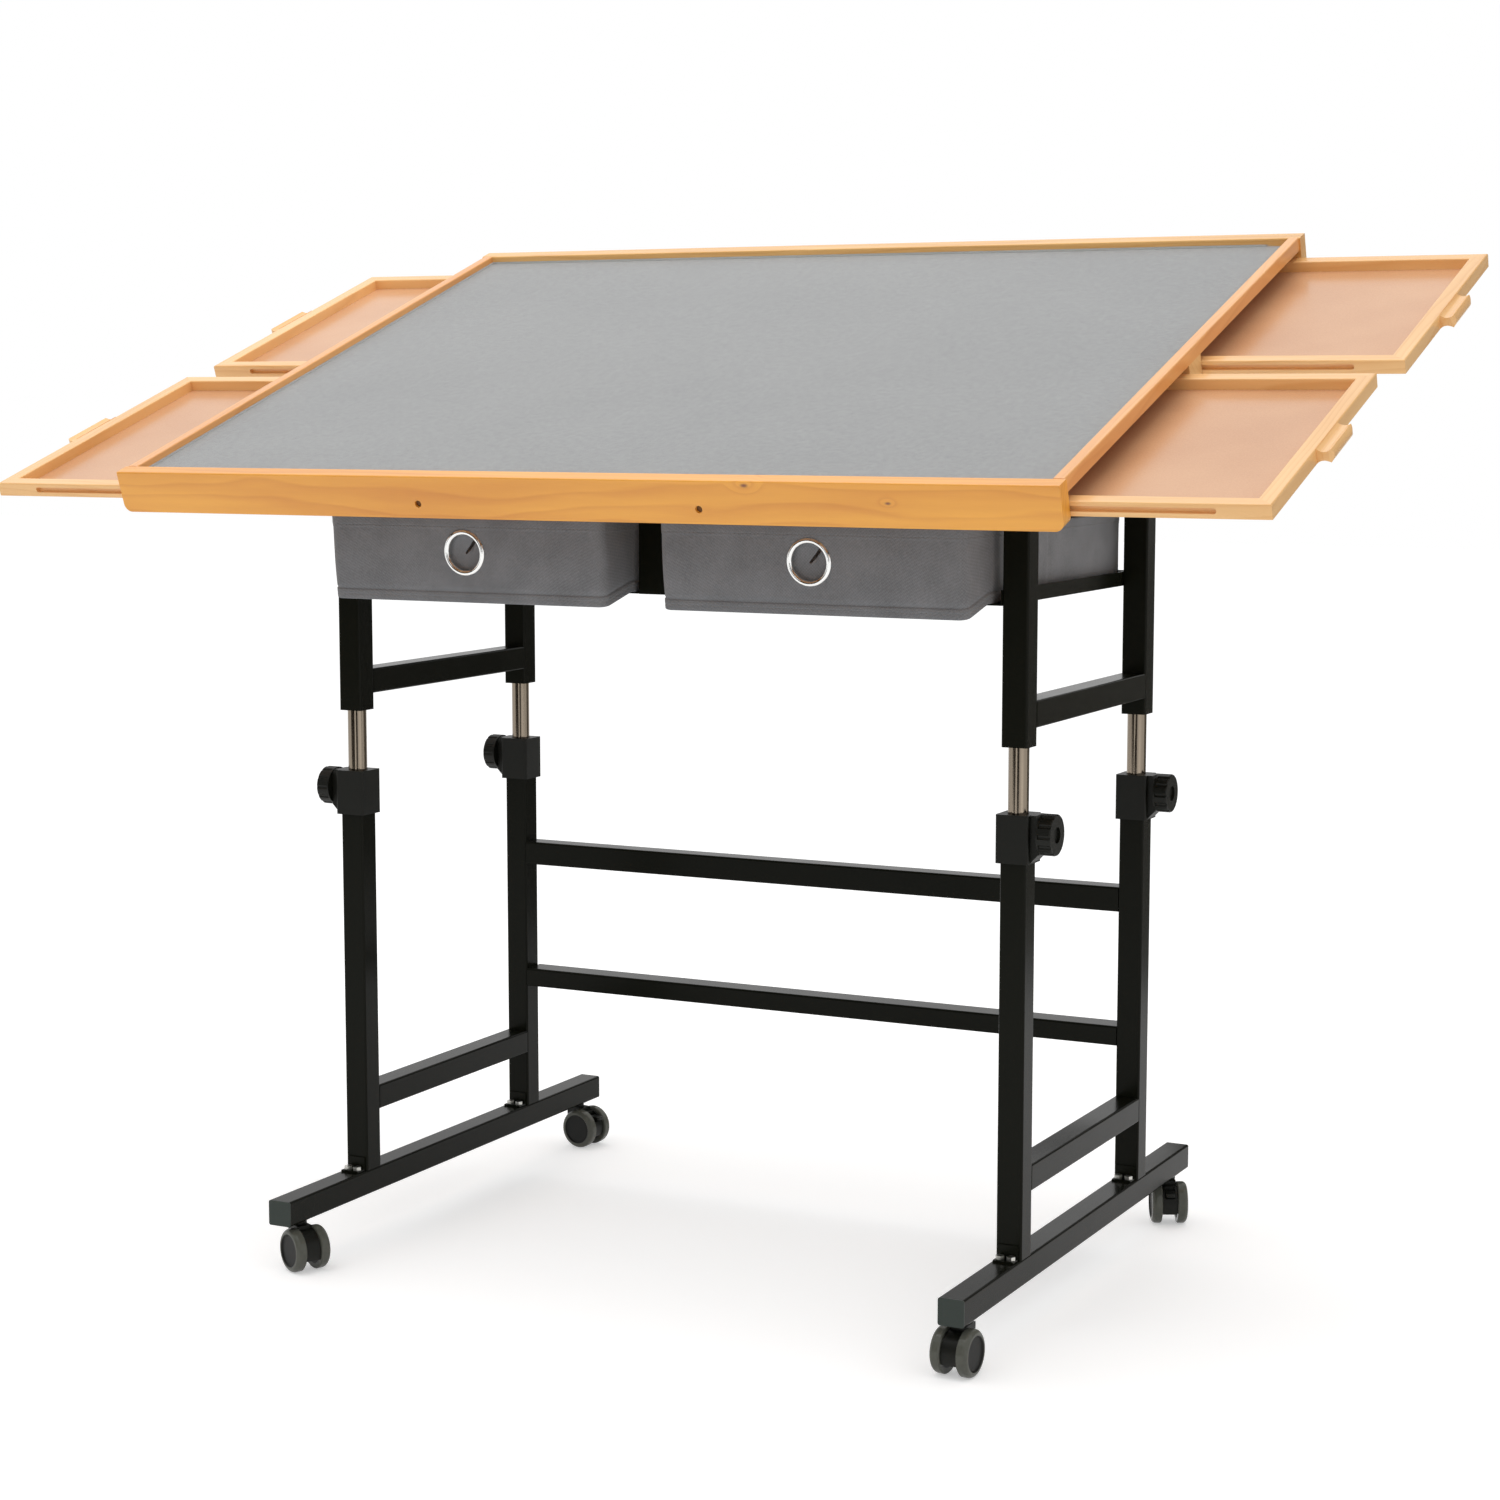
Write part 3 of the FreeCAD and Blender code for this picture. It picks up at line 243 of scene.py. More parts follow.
def moulded(name, code, roughness, grain_depth):
    """Moulded plastic: a plain colour, noise of one grain size as a bump, and gloss worn in patches."""
    material, tree, shader = new_material(name)
    place = add(tree, "TexCoord").outputs["Object"]
    grain = add(tree, "TexNoise", {"Vector": place, "Scale": 1 / GRAIN_SIZE, "Detail": 2.0})
    bump = add(tree, "Bump", {"Height": grain, "Distance": grain_depth, "Strength": 0.3})
    gloss = wander(tree, place, 45.0, roughness - 0.06, roughness + 0.06, detail=3.0)
    fill(tree, shader, {"Base Color": colour(code), "Roughness": gloss, "IOR": 1.5, "Specular IOR Level": 0.2,
                        "Normal": bump})
    return material


CORNERS = ("front_left", "back_left", "front_right", "back_right")
black_nylon = moulded("moulded_nylon", "#13140F", 0.42, 0.2 * MM)
slate_plug = moulded("slate_polyethylene", "#3A413D", 0.5, 0.2 * MM)
rubber = moulded("pad_rubber", "#1A1A1A", 0.75, 0.3 * MM)
finish_nodes(
    black_nylon, "leg_collars", "tilt_knob_left", "tilt_knob_right", "caster_brake_back_left",
    "caster_brake_back_right", *["height_knob_" + name for name in CORNERS],
    *["caster_body_" + name for name in CORNERS],
)
finish_nodes(slate_plug, "foot_end_plugs")
finish_nodes(rubber, "rest_pads")
print("moulded plastics")

# %% [markdown]
# ## Caster wheels in two plastics
#
# Each wheel has a grey polyurethane tread moulded round a darker hub disc. The two meet on
# a circle about the axle, so the distance of a point from the axle's line decides which of
# the two it is. The line comes from the caster's own rolling joint. The tread is glossy and
# the hub dull.

# %% Tread and hub of each caster
HUB_RADIUS = 16.4 * MM
HUB_EDGE = 0.4 * MM


def caster_plastic(name):
    """Tread and hub: the distance from the axle's line picks one of two colours and glosses."""
    joint = next(item for item in frame["joints"] if item["name"] == "caster_roll_" + name)
    material, tree, shader = new_material("caster_plastic_" + name)
    place = add(tree, "TexCoord").outputs["Object"]
    arm = add(tree, "VectorMath", {0: place, 1: joint["pos_m"]}, operation="SUBTRACT")
    lever = add(tree, "VectorMath", {0: arm, 1: joint["axis"]}, operation="CROSS_PRODUCT")
    distance = add(tree, "VectorMath", {0: lever}, operation="LENGTH")
    tread = add(tree, "MapRange", {"Value": distance, "From Min": HUB_RADIUS - HUB_EDGE,
                                   "From Max": HUB_RADIUS + HUB_EDGE})
    dust = add(tree, "TexNoise", {"Vector": place, "Scale": 160.0, "Detail": 4.0})
    grey = add(tree, "Mix", {"Factor": dust, "A": colour("#50514A"), "B": colour("#5E5F57")},
               data_type="RGBA")
    both = add(tree, "Mix", {"Factor": tread, "A": colour("#0F100D"), "B": grey}, data_type="RGBA")
    shine = add(tree, "MapRange", {"Value": dust, "To Min": 0.08, "To Max": 0.16})
    gloss = add(tree, "MapRange", {"Value": tread, "To Min": 0.5, "To Max": shine})
    fill(tree, shader, {"Base Color": both, "Roughness": gloss, "Specular IOR Level": 0.22})
    return material


for caster in CORNERS:
    finish_nodes(caster_plastic(caster), "caster_wheels_" + caster)
print("caster wheels")

# %% [markdown]
# ## Pine
#
# A board is cut from a tree of nested growth rings, so a solid wood pattern starts as the
# distance from the tree's middle, the pith. Slow noise bends the rings, and each ring runs
# from pale early wood to a darker late-wood line. Thin fibres run along the board. The rails
# have their grain along their own length, so the pattern is drawn in the tray's axes and
# turned for the rails that run from front to back. A knot is a place where the rings swell
# and darken.

# %% Pine, in the axes of the tray
RING_SPACING = 6.5 * MM
RING_SWAY = 20.0 * MM
LATE_WOOD = 0.36
FIBRE = 0.55 * MM
KNOT_BROWN = "#7A3F1A"


def add_knots(tree, along, height, total, knots):
    """Adds a swell to the pith distance round each knot: the new distance, and the knots' own shade."""
    shade = None
    for knot_along, knot_height, size in knots:
        aside = add(tree, "Math", {0: along, 1: knot_along}, operation="SUBTRACT")
        above = add(tree, "Math", {0: height, 1: knot_height}, operation="SUBTRACT")
        halved = add(tree, "Math", {0: aside, 1: 0.5}, operation="MULTIPLY")
        ray = add(tree, "CombineXYZ", {"X": halved, "Y": above})
        gap = add(tree, "VectorMath", {0: ray}, operation="LENGTH")
        core = add(tree, "MapRange", {"Value": gap, "From Min": 0.0, "From Max": size, "To Min": 1.0,
                                      "To Max": 0.0}, interpolation_type="SMOOTHERSTEP")
        swell = add(tree, "MapRange", {"Value": gap, "From Min": 0.0, "From Max": 4 * size,
                                       "To Min": 3 * size, "To Max": 0.0}, interpolation_type="SMOOTHERSTEP")
        total = add(tree, "Math", {0: total, 1: swell}, operation="ADD")
        if shade is None:
            shade = core
        else:
            shade = add(tree, "Math", {0: shade, 1: core}, operation="MAXIMUM")
    return total, shade


def pine_colour(tree, along, across, height, pale, dark, pith, knots=()):
    """Ring pattern: distance from the pith line, bent by noise, over the ring spacing.

    The pith is given by its place across the board and by its height.
    """
    stretched = add(tree, "CombineXYZ", {"X": along, "Y": across, "Z": height})
    slow = add(tree, "Mapping", {"Vector": stretched, "Scale": (2.6, 14.0, 14.0)})
    sway = wander(tree, slow, 1.0, -RING_SWAY, RING_SWAY, detail=2.5)
    side = add(tree, "Math", {0: across, 1: pith[0]}, operation="SUBTRACT")
    rise = add(tree, "Math", {0: height, 1: pith[1]}, operation="SUBTRACT")
    spoke = add(tree, "CombineXYZ", {"X": side, "Y": rise})
    radius = add(tree, "VectorMath", {0: spoke}, operation="LENGTH")
    bent = add(tree, "Math", {0: radius, 1: sway}, operation="ADD")
    total, shade = add_knots(tree, along, height, bent, knots)
    turns = add(tree, "Math", {0: total, 1: RING_SPACING}, operation="DIVIDE")
    ring = add(tree, "Math", {0: turns}, operation="FRACT")
    late = add(tree, "ValToRGB", {"Fac": ring})
    stops = late.color_ramp.elements
    stops[0].color = stops[1].color = (0.1, 0.1, 0.1, 1.0)
    stops.new(0.55).color = (0.3, 0.3, 0.3, 1.0)
    stops.new(0.86).color = (1.0, 1.0, 1.0, 1.0)
    thin = add(tree, "Mapping", {"Vector": stretched, "Scale": (0.025 / FIBRE, 1 / FIBRE, 1 / FIBRE)})
    fibres = add(tree, "TexNoise", {"Vector": thin, "Scale": 1.0, "Detail": 3.0})
    broad = add(tree, "Mapping", {"Vector": stretched, "Scale": (3.0, 40.0, 40.0)})
    rings = add(tree, "Math", {0: late, 1: LATE_WOOD}, operation="MULTIPLY")
    bands = wander(tree, broad, 1.0, -0.12, 0.45, levels=MIDDLE_LEVELS)
    fine = add(tree, "MapRange", {"Value": fibres, "To Min": -0.14, "To Max": 0.14})
    first = add(tree, "Math", {0: rings, 1: bands}, operation="ADD")
    depth = add(tree, "Math", {0: first, 1: fine}, operation="ADD", use_clamp=True)
    wood = add(tree, "Mix", {"Factor": depth, "A": colour(pale), "B": colour(dark)}, data_type="RGBA")
    if shade is not None:
        wood = add(tree, "Mix", {"Factor": shade, "A": wood, "B": colour(KNOT_BROWN)}, data_type="RGBA")
    relief = add(tree, "Math", {0: fibres, 1: late}, operation="ADD")
    return wood, relief


def tray_axes(tree):
    """The tray's own u, v and w of each point, from its object coordinates."""
    place = add(tree, "TexCoord").outputs["Object"]
    turned = add(tree, "Mapping", {"Vector": place, "Location": tray_origin, "Rotation": (TILT, 0.0, 0.0)},
                 vector_type="TEXTURE")
    return add(tree, "SeparateXYZ", {"Vector": turned}).outputs


def lacquer(tree, shader, wood, relief):
    """Thin satin lacquer: the wood's colour and a shallow relief under a clear coat."""
    bump = add(tree, "Bump", {"Height": relief, "Strength": 0.16, "Distance": 0.3 * MM})
    fill(tree, shader, {"Base Color": wood, "Roughness": 0.5, "Coat Weight": 0.65, "Coat Roughness": 0.12,
                        "Normal": bump})


def pine_rail(name, pale, dark, pith, lengthways=True, knots=()):
    """Pine with its grain across the tray, or from front to back where lengthways is false."""
    material, tree, shader = new_material(name)
    u, v, w = tray_axes(tree)
    along, across = (u, v) if lengthways else (v, u)
    wood, relief = pine_colour(tree, along, across, w, pale, dark, pith, knots)
    lacquer(tree, shader, wood, relief)
    return material


FRONT_KNOTS = ((0.19, -0.004, 0.003), (0.322, -0.018, 0.0022))
finish_nodes(pine_rail("pine_front_rail", "#F5AC3A", "#D27E1C", (0.11, -0.075), knots=FRONT_KNOTS),
             "front_rail")
finish_nodes(pine_rail("pine_back_rail", "#EFBC72", "#D19344", (0.66, 0.09)), "back_rail")
finish_nodes(pine_rail("pine_side_rails", "#F2B068", "#D98F46", (0.02, -0.14), lengthways=False),
             "tray_side_rails")
finish_nodes(pine_rail("pine_inner_rails", "#E8B676", "#CC9150", (0.3, -0.12)), "drawer_dividers",
             "drawer_runners")
print("pine rails")

# %% [markdown]
# ## Pine of the drawers
#
# A drawer's frame is mitred: its four rails meet at 45 degrees, and the grain turns there.
# A point belongs to a rail that runs across the tray where it is nearer to the drawer's
# front or back edge than to its ends, and that test swaps the two axes of the pattern.

# %% Mitred pine frames
BOTTOM_TO_EDGE = 11.0 * MM


def drawer_edges(name):
    """Outer edges of a drawer on the tray, from its bottom panel: (u0, u1, v0, v1)."""
    flat = on_tray(points_of("drawer_bottom_" + name))
    low = flat.min(axis=0) - BOTTOM_TO_EDGE
    high = flat.max(axis=0) + BOTTOM_TO_EDGE
    return low[0], high[0], low[1], high[1]


def edge_gap(tree, axis, first, last):
    """Distance along an axis to the nearer of two edges."""
    after = add(tree, "Math", {0: axis, 1: first}, operation="SUBTRACT")
    before = add(tree, "Math", {0: last, 1: axis}, operation="SUBTRACT")
    return add(tree, "Math", {0: after, 1: before}, operation="MINIMUM")


def pine_drawer(name, pale, dark):
    """Pine whose grain turns at the mitres: the smaller edge distance picks the direction."""
    material, tree, shader = new_material("pine_drawer_" + name)
    u, v, w = tray_axes(tree)
    u0, u1, v0, v1 = drawer_edges(name)
    turned = add(tree, "Math", {0: edge_gap(tree, u, u0, u1), 1: edge_gap(tree, v, v0, v1)},
                 operation="LESS_THAN")
    along = add(tree, "Mix", {"Factor": turned, "A": u, "B": v}, data_type="FLOAT")
    across = add(tree, "Mix", {"Factor": turned, "A": v, "B": u}, data_type="FLOAT")
    wood, relief = pine_colour(tree, along, across, w, pale, dark, (v0 - 60 * MM, -110 * MM))
    lacquer(tree, shader, wood, relief)
    return material


for drawer in CORNERS:
    finish_nodes(pine_drawer(drawer, "#F8C684", "#E0A35A"), "drawer_frame_" + drawer)
print("drawer edges:", [round(value, 3) for value in drawer_edges("front_right")])

# %% [markdown]
# ## Hardboard
#
# The drawers' bottoms are thin hardboard: wood fibre pressed hot against a polished plate,
# so one face is smooth and reddish brown, with flecks of darker fibre. Lacquer leaves it
# slightly glossy.

# %% Hardboard panels
FLECK = 1.4 * MM


def hardboard(name, pale, dark):
    """Pressed fibre: fine flecks over slow clouds, blended between two browns."""
    material, tree, shader = new_material(name)
    place = add(tree, "TexCoord").outputs["Object"]
    fleck = add(tree, "TexNoise", {"Vector": place, "Scale": 1 / FLECK, "Detail": 3.0, "Roughness": 0.7})
    cloud = wander(tree, place, 9.0, -0.15, 0.4, levels=MIDDLE_LEVELS)
    speck = add(tree, "MapRange", {"Value": fleck, "From Min": 0.35, "From Max": 0.75, "To Min": 0.0,
                                   "To Max": 0.5})
    depth = add(tree, "Math", {0: cloud, 1: speck}, operation="ADD", use_clamp=True)
    brown = add(tree, "Mix", {"Factor": depth, "A": colour(pale), "B": colour(dark)}, data_type="RGBA")
    bump = add(tree, "Bump", {"Height": fleck, "Strength": 0.06, "Distance": 0.2 * MM})
    fill(tree, shader, {"Base Color": brown, "Roughness": 0.22, "Normal": bump})
    return material


finish_nodes(hardboard("hardboard", "#D9A77E", "#C59068"), "tray_board",
             *["drawer_bottom_" + name for name in CORNERS])
print("hardboard")

# %% [markdown]
# ## Felt
#
# The puzzle lies on grey wool felt. Felt is a mat of fibres with no weave: soft light and
# dark tufts a few millimetres across, short single fibres on top, and a slight sheen where
# light grazes the nap. Real fibres are finer than the render shows, so they are drawn
# about three times as thick.

# %% Felt on the board
TUFT = 5.0 * MM
FIBRE_DRAWN = 0.9 * MM


def felt(name, pale, dark):
    """Matted fibres: tufts and warped fine noise, blended between two greys, with sheen."""
    material, tree, shader = new_material(name)
    place = add(tree, "TexCoord").outputs["Object"]
    tufts = add(tree, "TexNoise", {"Vector": place, "Scale": 1 / TUFT, "Detail": 3.0})
    hairs = add(tree, "TexNoise", {"Vector": place, "Scale": 1 / FIBRE_DRAWN, "Detail": 2.0,
                                   "Distortion": 1.5})
    cloud = add(tree, "TexNoise", {"Vector": place, "Scale": 6.0, "Detail": 1.0})
    mixed = add(tree, "Math", {0: tufts, 1: hairs}, operation="ADD")
    total = add(tree, "Math", {0: cloud, 1: 0.3, 2: mixed}, operation="MULTIPLY_ADD")
    depth = add(tree, "MapRange", {"Value": total, "From Min": 0.75, "From Max": 1.55})
    grey = add(tree, "Mix", {"Factor": depth, "A": colour(pale), "B": colour(dark)}, data_type="RGBA")
    bump = add(tree, "Bump", {"Height": hairs, "Strength": 0.35, "Distance": 0.5 * MM})
    fill(tree, shader, {"Base Color": grey, "Roughness": 0.95, "Sheen Weight": 0.15, "Sheen Roughness": 0.5,
                        "Normal": bump})
    return material


finish_nodes(felt("grey_wool_felt", "#A3A2A1", "#8C8B8B"), "felt_sheet")
print("felt")

# %% [markdown]
# ## Clear acrylic
#
# The cover is a sheet of cast acrylic. Seen through its faces it is almost nothing but its
# gloss. Seen through its cut edges it is a thin dark line, because light that enters there
# travels far through the sheet. So its alpha is low on the faces and higher near an edge.

# %% Acrylic cover
EDGE_LINE = 1.2 * MM


def acrylic(name, cover_name):
    """Clear sheet: alpha is a low value on the faces and rises within a line of its edges."""
    material, tree, shader = new_material(name)
    flat = on_tray(points_of(cover_name))
    low, high = flat.min(axis=0), flat.max(axis=0)
    gaps = [edge_gap(tree, axis, low[k], high[k]) for k, axis in enumerate(tray_axes(tree)[:2])]
    nearest = add(tree, "Math", {0: gaps[0], 1: gaps[1]}, operation="MINIMUM")
    alpha = add(tree, "MapRange", {"Value": nearest, "From Min": 0.0, "From Max": EDGE_LINE, "To Min": 0.75,
                                   "To Max": 0.06})
    fill(tree, shader, {"Base Color": colour("#C9D3D6"), "Roughness": 0.05, "IOR": 1.49,
                        "Specular IOR Level": 0.2, "Alpha": alpha})
    return material


finish_nodes(acrylic("cast_acrylic", "cover"), "cover")
print("acrylic cover")

# %% [markdown]
# ## The fabric bins: one wall, then the whole shell
#
# Each bin is sewn from coated polyester cloth: four soft walls and a floor. The walls bow a
# little, the front leans, the floor sags between the rails, the front edge of the floor
# droops ahead of them, and each side has a pressed fold halfway along.
#
# The whole bin is one closed surface. A point on it has a place round the rim, t, and a
# step on a profile that starts in the middle of the underside, climbs the outside, folds
# over the rim and comes down inside to the middle of the floor.

# %% Sizes of a bin


def corners_of(name):
    """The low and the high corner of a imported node's box, as arrays."""
    low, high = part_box(name)
    return np.array(low), np.array(high)


bin_low, bin_high = corners_of("bin_right")
BIN_WIDTH, BIN_DEPTH = (bin_high - bin_low)[:2]
BIN_TOP = bin_high[2]
FRONT_LEAN = 9.0 * MM
LEAN_REACH = 90.0 * MM
DROOP = 11.8 * MM
DROOP_LENGTH = 49.0 * MM
FLOOR_EDGE = bin_low[2] + DROOP
PLAN_CORNER = 9.0 * MM
CLOTH = 2.2 * MM
BAND = 12.0 * MM
RING_DEPTH = BIN_TOP - np.mean(corners_of("bin_ring_right"), axis=0)[2]
RING_CLEAR = 19.5 * MM
RING_HOLDS = 34.0 * MM
WAVE_SEEDS = {"left": 11, "right": 23}
print("bin:", [round(float(size), 4) for size in (BIN_WIDTH, BIN_DEPTH, RING_DEPTH)])

# %% Plan of the rim


def rim(t):
    """Rounded rectangle about the origin for t in turns, from the middle of the back: x, y, and normal.

    Nine pieces follow each other: half of the back wall, and then a corner and a wall in turn.
    """
    half_x, half_y = BIN_WIDTH / 2 - PLAN_CORNER, BIN_DEPTH / 2 - PLAN_CORNER
    arc = math.pi / 2 * PLAN_CORNER
    lengths = np.array([half_x, arc, 2 * half_y, arc, 2 * half_x, arc, 2 * half_y, arc, half_x])
    ends = np.cumsum(lengths)
    travelled = (t % 1.0) * ends[-1]
    piece = np.clip(np.searchsorted(ends, travelled, side="right"), 0, 8)
    into = travelled - (ends - lengths)[piece]
    turn = np.array([0, 0, 1, 1, 2, 2, 3, 3, 4])[piece] * math.pi / 2
    angle = math.pi / 2 - turn - np.where(piece % 2 == 1, into / PLAN_CORNER, 0.0)
    normal_x, normal_y = np.cos(angle), np.sin(angle)
    centre_x = np.array([0, half_x, half_x, half_x, 0, -half_x, -half_x, -half_x, 0])[piece]
    centre_y = np.array([half_y, half_y, 0, -half_y, -half_y, -half_y, 0, half_y, half_y])[piece]
    start = np.array([0, 0, -half_y, 0, -half_x, 0, -half_y, 0, -half_x])[piece]
    straight = np.where(piece % 2 == 0, start + into, 0.0)
    x = centre_x + PLAN_CORNER * normal_x + straight * normal_y
    y = centre_y + PLAN_CORNER * normal_y - straight * normal_x
    return x, y, normal_x, normal_y


print("rim corner check:", [round(float(value[0]), 4) for value in rim(np.array([0.25]))])

# %% [markdown]
# ### How the cloth leaves the flat
#
# Each wall bows outwards most at its middle. A few long waves of random phase give the
# slackness of sewn cloth, and they die out round the pull ring, which holds the cloth flat.
# Each bin has waves of its own, from its own seed.
# The fold on each side is a narrow groove. The binding at the rim and the hem at the bottom
# stand a little proud, with the stitches sunk in them. The back wall is set in by about a
# millimetre, so that its hem meets the stops of the rails and does not enter them.

# %% Bow, waves, fold, binding and hem
FACING = 0.7
BOW = 1.7 * MM
WAVES = (0.45 * MM, 0.3 * MM, 0.22 * MM, 0.15 * MM)
FOLD_Y = 1.0 * MM
FOLD_DEEP, FOLD_WIDE = 1.1 * MM, 2.2 * MM
BINDING_PROUD = 0.45 * MM
HEM_PROUD = 0.6 * MM
CREASE_DEEP, CREASE_WIDE = 0.9 * MM, 0.8 * MM
GROOVE_DEEP, GROOVE_WIDE = 0.35 * MM, 0.7 * MM
BACK_IN = 1.1 * MM
HEM = 9.0 * MM
STITCH_ROWS = ((False, 5.0 * MM), (False, 8.0 * MM), (True, 8.5 * MM))


def bottom_edge(y):
    """Height of the bin's lower edge at a plan y: level, then down in a straight line to the front."""
    front = -BIN_DEPTH / 2 + FRONT_LEAN
    ahead = np.clip((front + DROOP_LENGTH - y) / DROOP_LENGTH, 0.0, 1.0)
    return FLOOR_EDGE - DROOP * ahead


def front_share(y):
    """How far a point shares in the front's lean: 1 at the front wall, falling to 0 over the reach."""
    return np.clip(1 - (y + BIN_DEPTH / 2) / LEAN_REACH, 0, 1)


def wall(t, down, up, seed):
    """Outer wall at turn t, down from the rim and up from the lower edge: points and normals.

    The rim's plan is pushed along its normal by the bow, the waves, the fold and the bands.
    """
    x, y, normal_x, normal_y = rim(t)
    height = down + up
    share = down / height
    facing_side = np.abs(normal_x)
    position = np.where(facing_side > FACING, y / BIN_DEPTH, x / BIN_WIDTH) * 2
    bow = BOW * np.sin(math.pi * share) ** 0.8 * np.clip(1 - position**2, 0, 1) ** 0.7
    chance = np.random.default_rng(seed)
    waves = np.zeros_like(t)
    for size in WAVES:
        crests, lean, phase = chance.integers(5, 17), chance.uniform(-0.8, 0.8), chance.uniform(0, 6.28)
        waves = waves + size * np.sin(2 * math.pi * (crests * t + lean * share) + phase)
    across_ring = np.hypot(x, down - RING_DEPTH)
    held = np.where(normal_y < -FACING, 1 - np.exp(-((across_ring / RING_HOLDS) ** 4)), 1.0)
    fold = -FOLD_DEEP * np.exp(-(((y - FOLD_Y) / FOLD_WIDE) ** 2)) * (facing_side > FACING)
    binding = BINDING_PROUD * np.clip((BAND - 1.5 * MM - down) / MM, 0, 1)
    hem = HEM_PROUD * np.clip((HEM + 0.8 * MM - up) / MM, 0, 1)
    crease = -CREASE_DEEP * np.exp(-(((up - HEM - 1.5 * MM) / CREASE_WIDE) ** 2))
    push = (bow + waves * np.sin(math.pi * share) ** 0.5) * held + fold + binding + hem + crease
    push = push - BACK_IN * np.clip(normal_y, 0, 1) ** 2
    for from_rim, offset in STITCH_ROWS:
        gap = (down if from_rim else up) - offset
        push = push - GROOVE_DEEP * np.exp(-((gap / GROOVE_WIDE) ** 2))
    lean_share = front_share(y) * down / (BIN_TOP - bin_low[2])
    points = np.stack([x + push * normal_x, y + push * normal_y + FRONT_LEAN * lean_share,
                       BIN_TOP - down], axis=-1)
    return points, np.stack([normal_x, normal_y, np.zeros_like(x)], axis=-1)


# %% [markdown]
# ### Rows and columns
#
# The columns stand three times as close at the rounded corners as along the walls. The rows
# gather at the binding and at the hem, where the cloth steps and the stitches sink in.

# %% Rows and columns of a wall
COLUMNS = 400
MIDDLE = COLUMNS // 2
HOLE_REACH = 4
ROWS_ABOVE_RING = 5
ROWS_BELOW_RING = 9
CORNER_TURNED = 0.02
turns = np.linspace(0, 1, 20001)
normals_x, normals_y = rim(turns)[2:]
crowding = 1 + 2 * (np.abs(normals_x * normals_y) > CORNER_TURNED)
crowded = np.concatenate([[0.0], np.cumsum((crowding[1:] + crowding[:-1]) / 2)])
columns = np.interp(np.arange(COLUMNS) / COLUMNS, crowded / crowded[-1], turns)
rim_y = rim(columns)[1]
wall_height = BIN_TOP - bottom_edge(rim_y + FRONT_LEAN * front_share(rim_y))
ring_share = (RING_DEPTH - BAND) / (BIN_TOP - bin_low[2] - 2 * BAND)
near_rim = np.array([0.6, 1.4, 2.6, 4.2, 5.8, 7.2, 7.9, 8.5, 9.1, 9.8, 10.6]) * MM
near_hem = np.array([10.6, 9.9, 9.3, 8.7, 8.0, 7.3, 6.5, 5.7, 5.0, 4.3, 3.4, 2.2, 1.2, 0.5]) * MM
above_ring = np.linspace(0, ring_share, ROWS_ABOVE_RING + 1)[:-1]
shares = np.concatenate([above_ring, np.linspace(ring_share, 1, ROWS_BELOW_RING + 1)])
down_rows = [np.full(COLUMNS, depth) for depth in near_rim]
down_rows += [BAND + share * (wall_height - 2 * BAND) for share in shares]
down_rows += [wall_height - height for height in near_hem]
down_rows = np.array(down_rows)
ring_row = len(near_rim) + ROWS_ABOVE_RING
print("rows on a wall:", len(down_rows), "ring row:", ring_row)

# %% [markdown]
# ### Opening the cloth for the pull ring
#
# The ring sits in a round hole. A square block of faces is taken out of the wall, and the
# points round it are drawn to a circle: the block's edge goes to the circle, and the pull
# fades out a little further on, under the ring's lip.

# %% Hole for the ring
HOLE_FADE = 0.4
NEAR_FRONT = 20.0 * MM
NO_LENGTH = 1e-9


def round_hole(points):
    """Moves wall points near the ring from nested blocks towards circles about the ring's middle.

    The share is 1 on the block's edge, where a point goes to the circle's radius.
    """
    centre = points[ring_row, MIDDLE].copy()
    offset = points - centre
    across, high = offset[..., 0], offset[..., 2]
    side_reach = abs(points[ring_row, MIDDLE + HOLE_REACH, 0] - centre[0])
    upper_reach = points[ring_row - HOLE_REACH, MIDDLE, 2] - centre[2]
    lower_reach = centre[2] - points[ring_row + HOLE_REACH, MIDDLE, 2]
    reach = np.where(high > 0, upper_reach, lower_reach)
    share = np.maximum(np.abs(across) / side_reach, np.abs(high) / reach)
    circle = np.hypot(across, high)
    fade = np.clip((1 + HOLE_FADE - share) / HOLE_FADE, 0, 1)
    scale = 1 + (RING_CLEAR * share / np.maximum(circle, NO_LENGTH) - 1) * fade
    close = (points[..., 1] < -BIN_DEPTH / 2 + NEAR_FRONT) & (circle > NO_LENGTH)
    scale = np.where(close, scale, 1.0)
    moved = points.copy()
    moved[..., 0] = centre[0] + across * scale
    moved[..., 2] = centre[2] + high * scale
    return moved


# %% The whole shell of a bin
FLOOR_ROWS = 22
FLOOR_SAG = 4.0 * MM
FLANGE_REST = 11.0 * MM


def floor_rows(edge, lift):
    """Floor between the lower edge and the middle: plan shrinks to a point, height sags in a bowl.

    The bowl is a product of two falls from the middle, and nothing where the rails' flanges carry it.
    """
    share = np.linspace(1, 0, FLOOR_ROWS + 1)[1:-1, None]
    x, y = edge[None, :, 0] * share, edge[None, :, 1] * share
    bowl = (1 - (x / (BIN_WIDTH / 2 - FLANGE_REST)) ** 2) * (1 - np.abs(2 * y / BIN_DEPTH) ** 4)
    z = bottom_edge(y) + lift - FLOOR_SAG * np.clip(bowl, 0, 1)
    return np.stack([x, y, z], axis=-1)


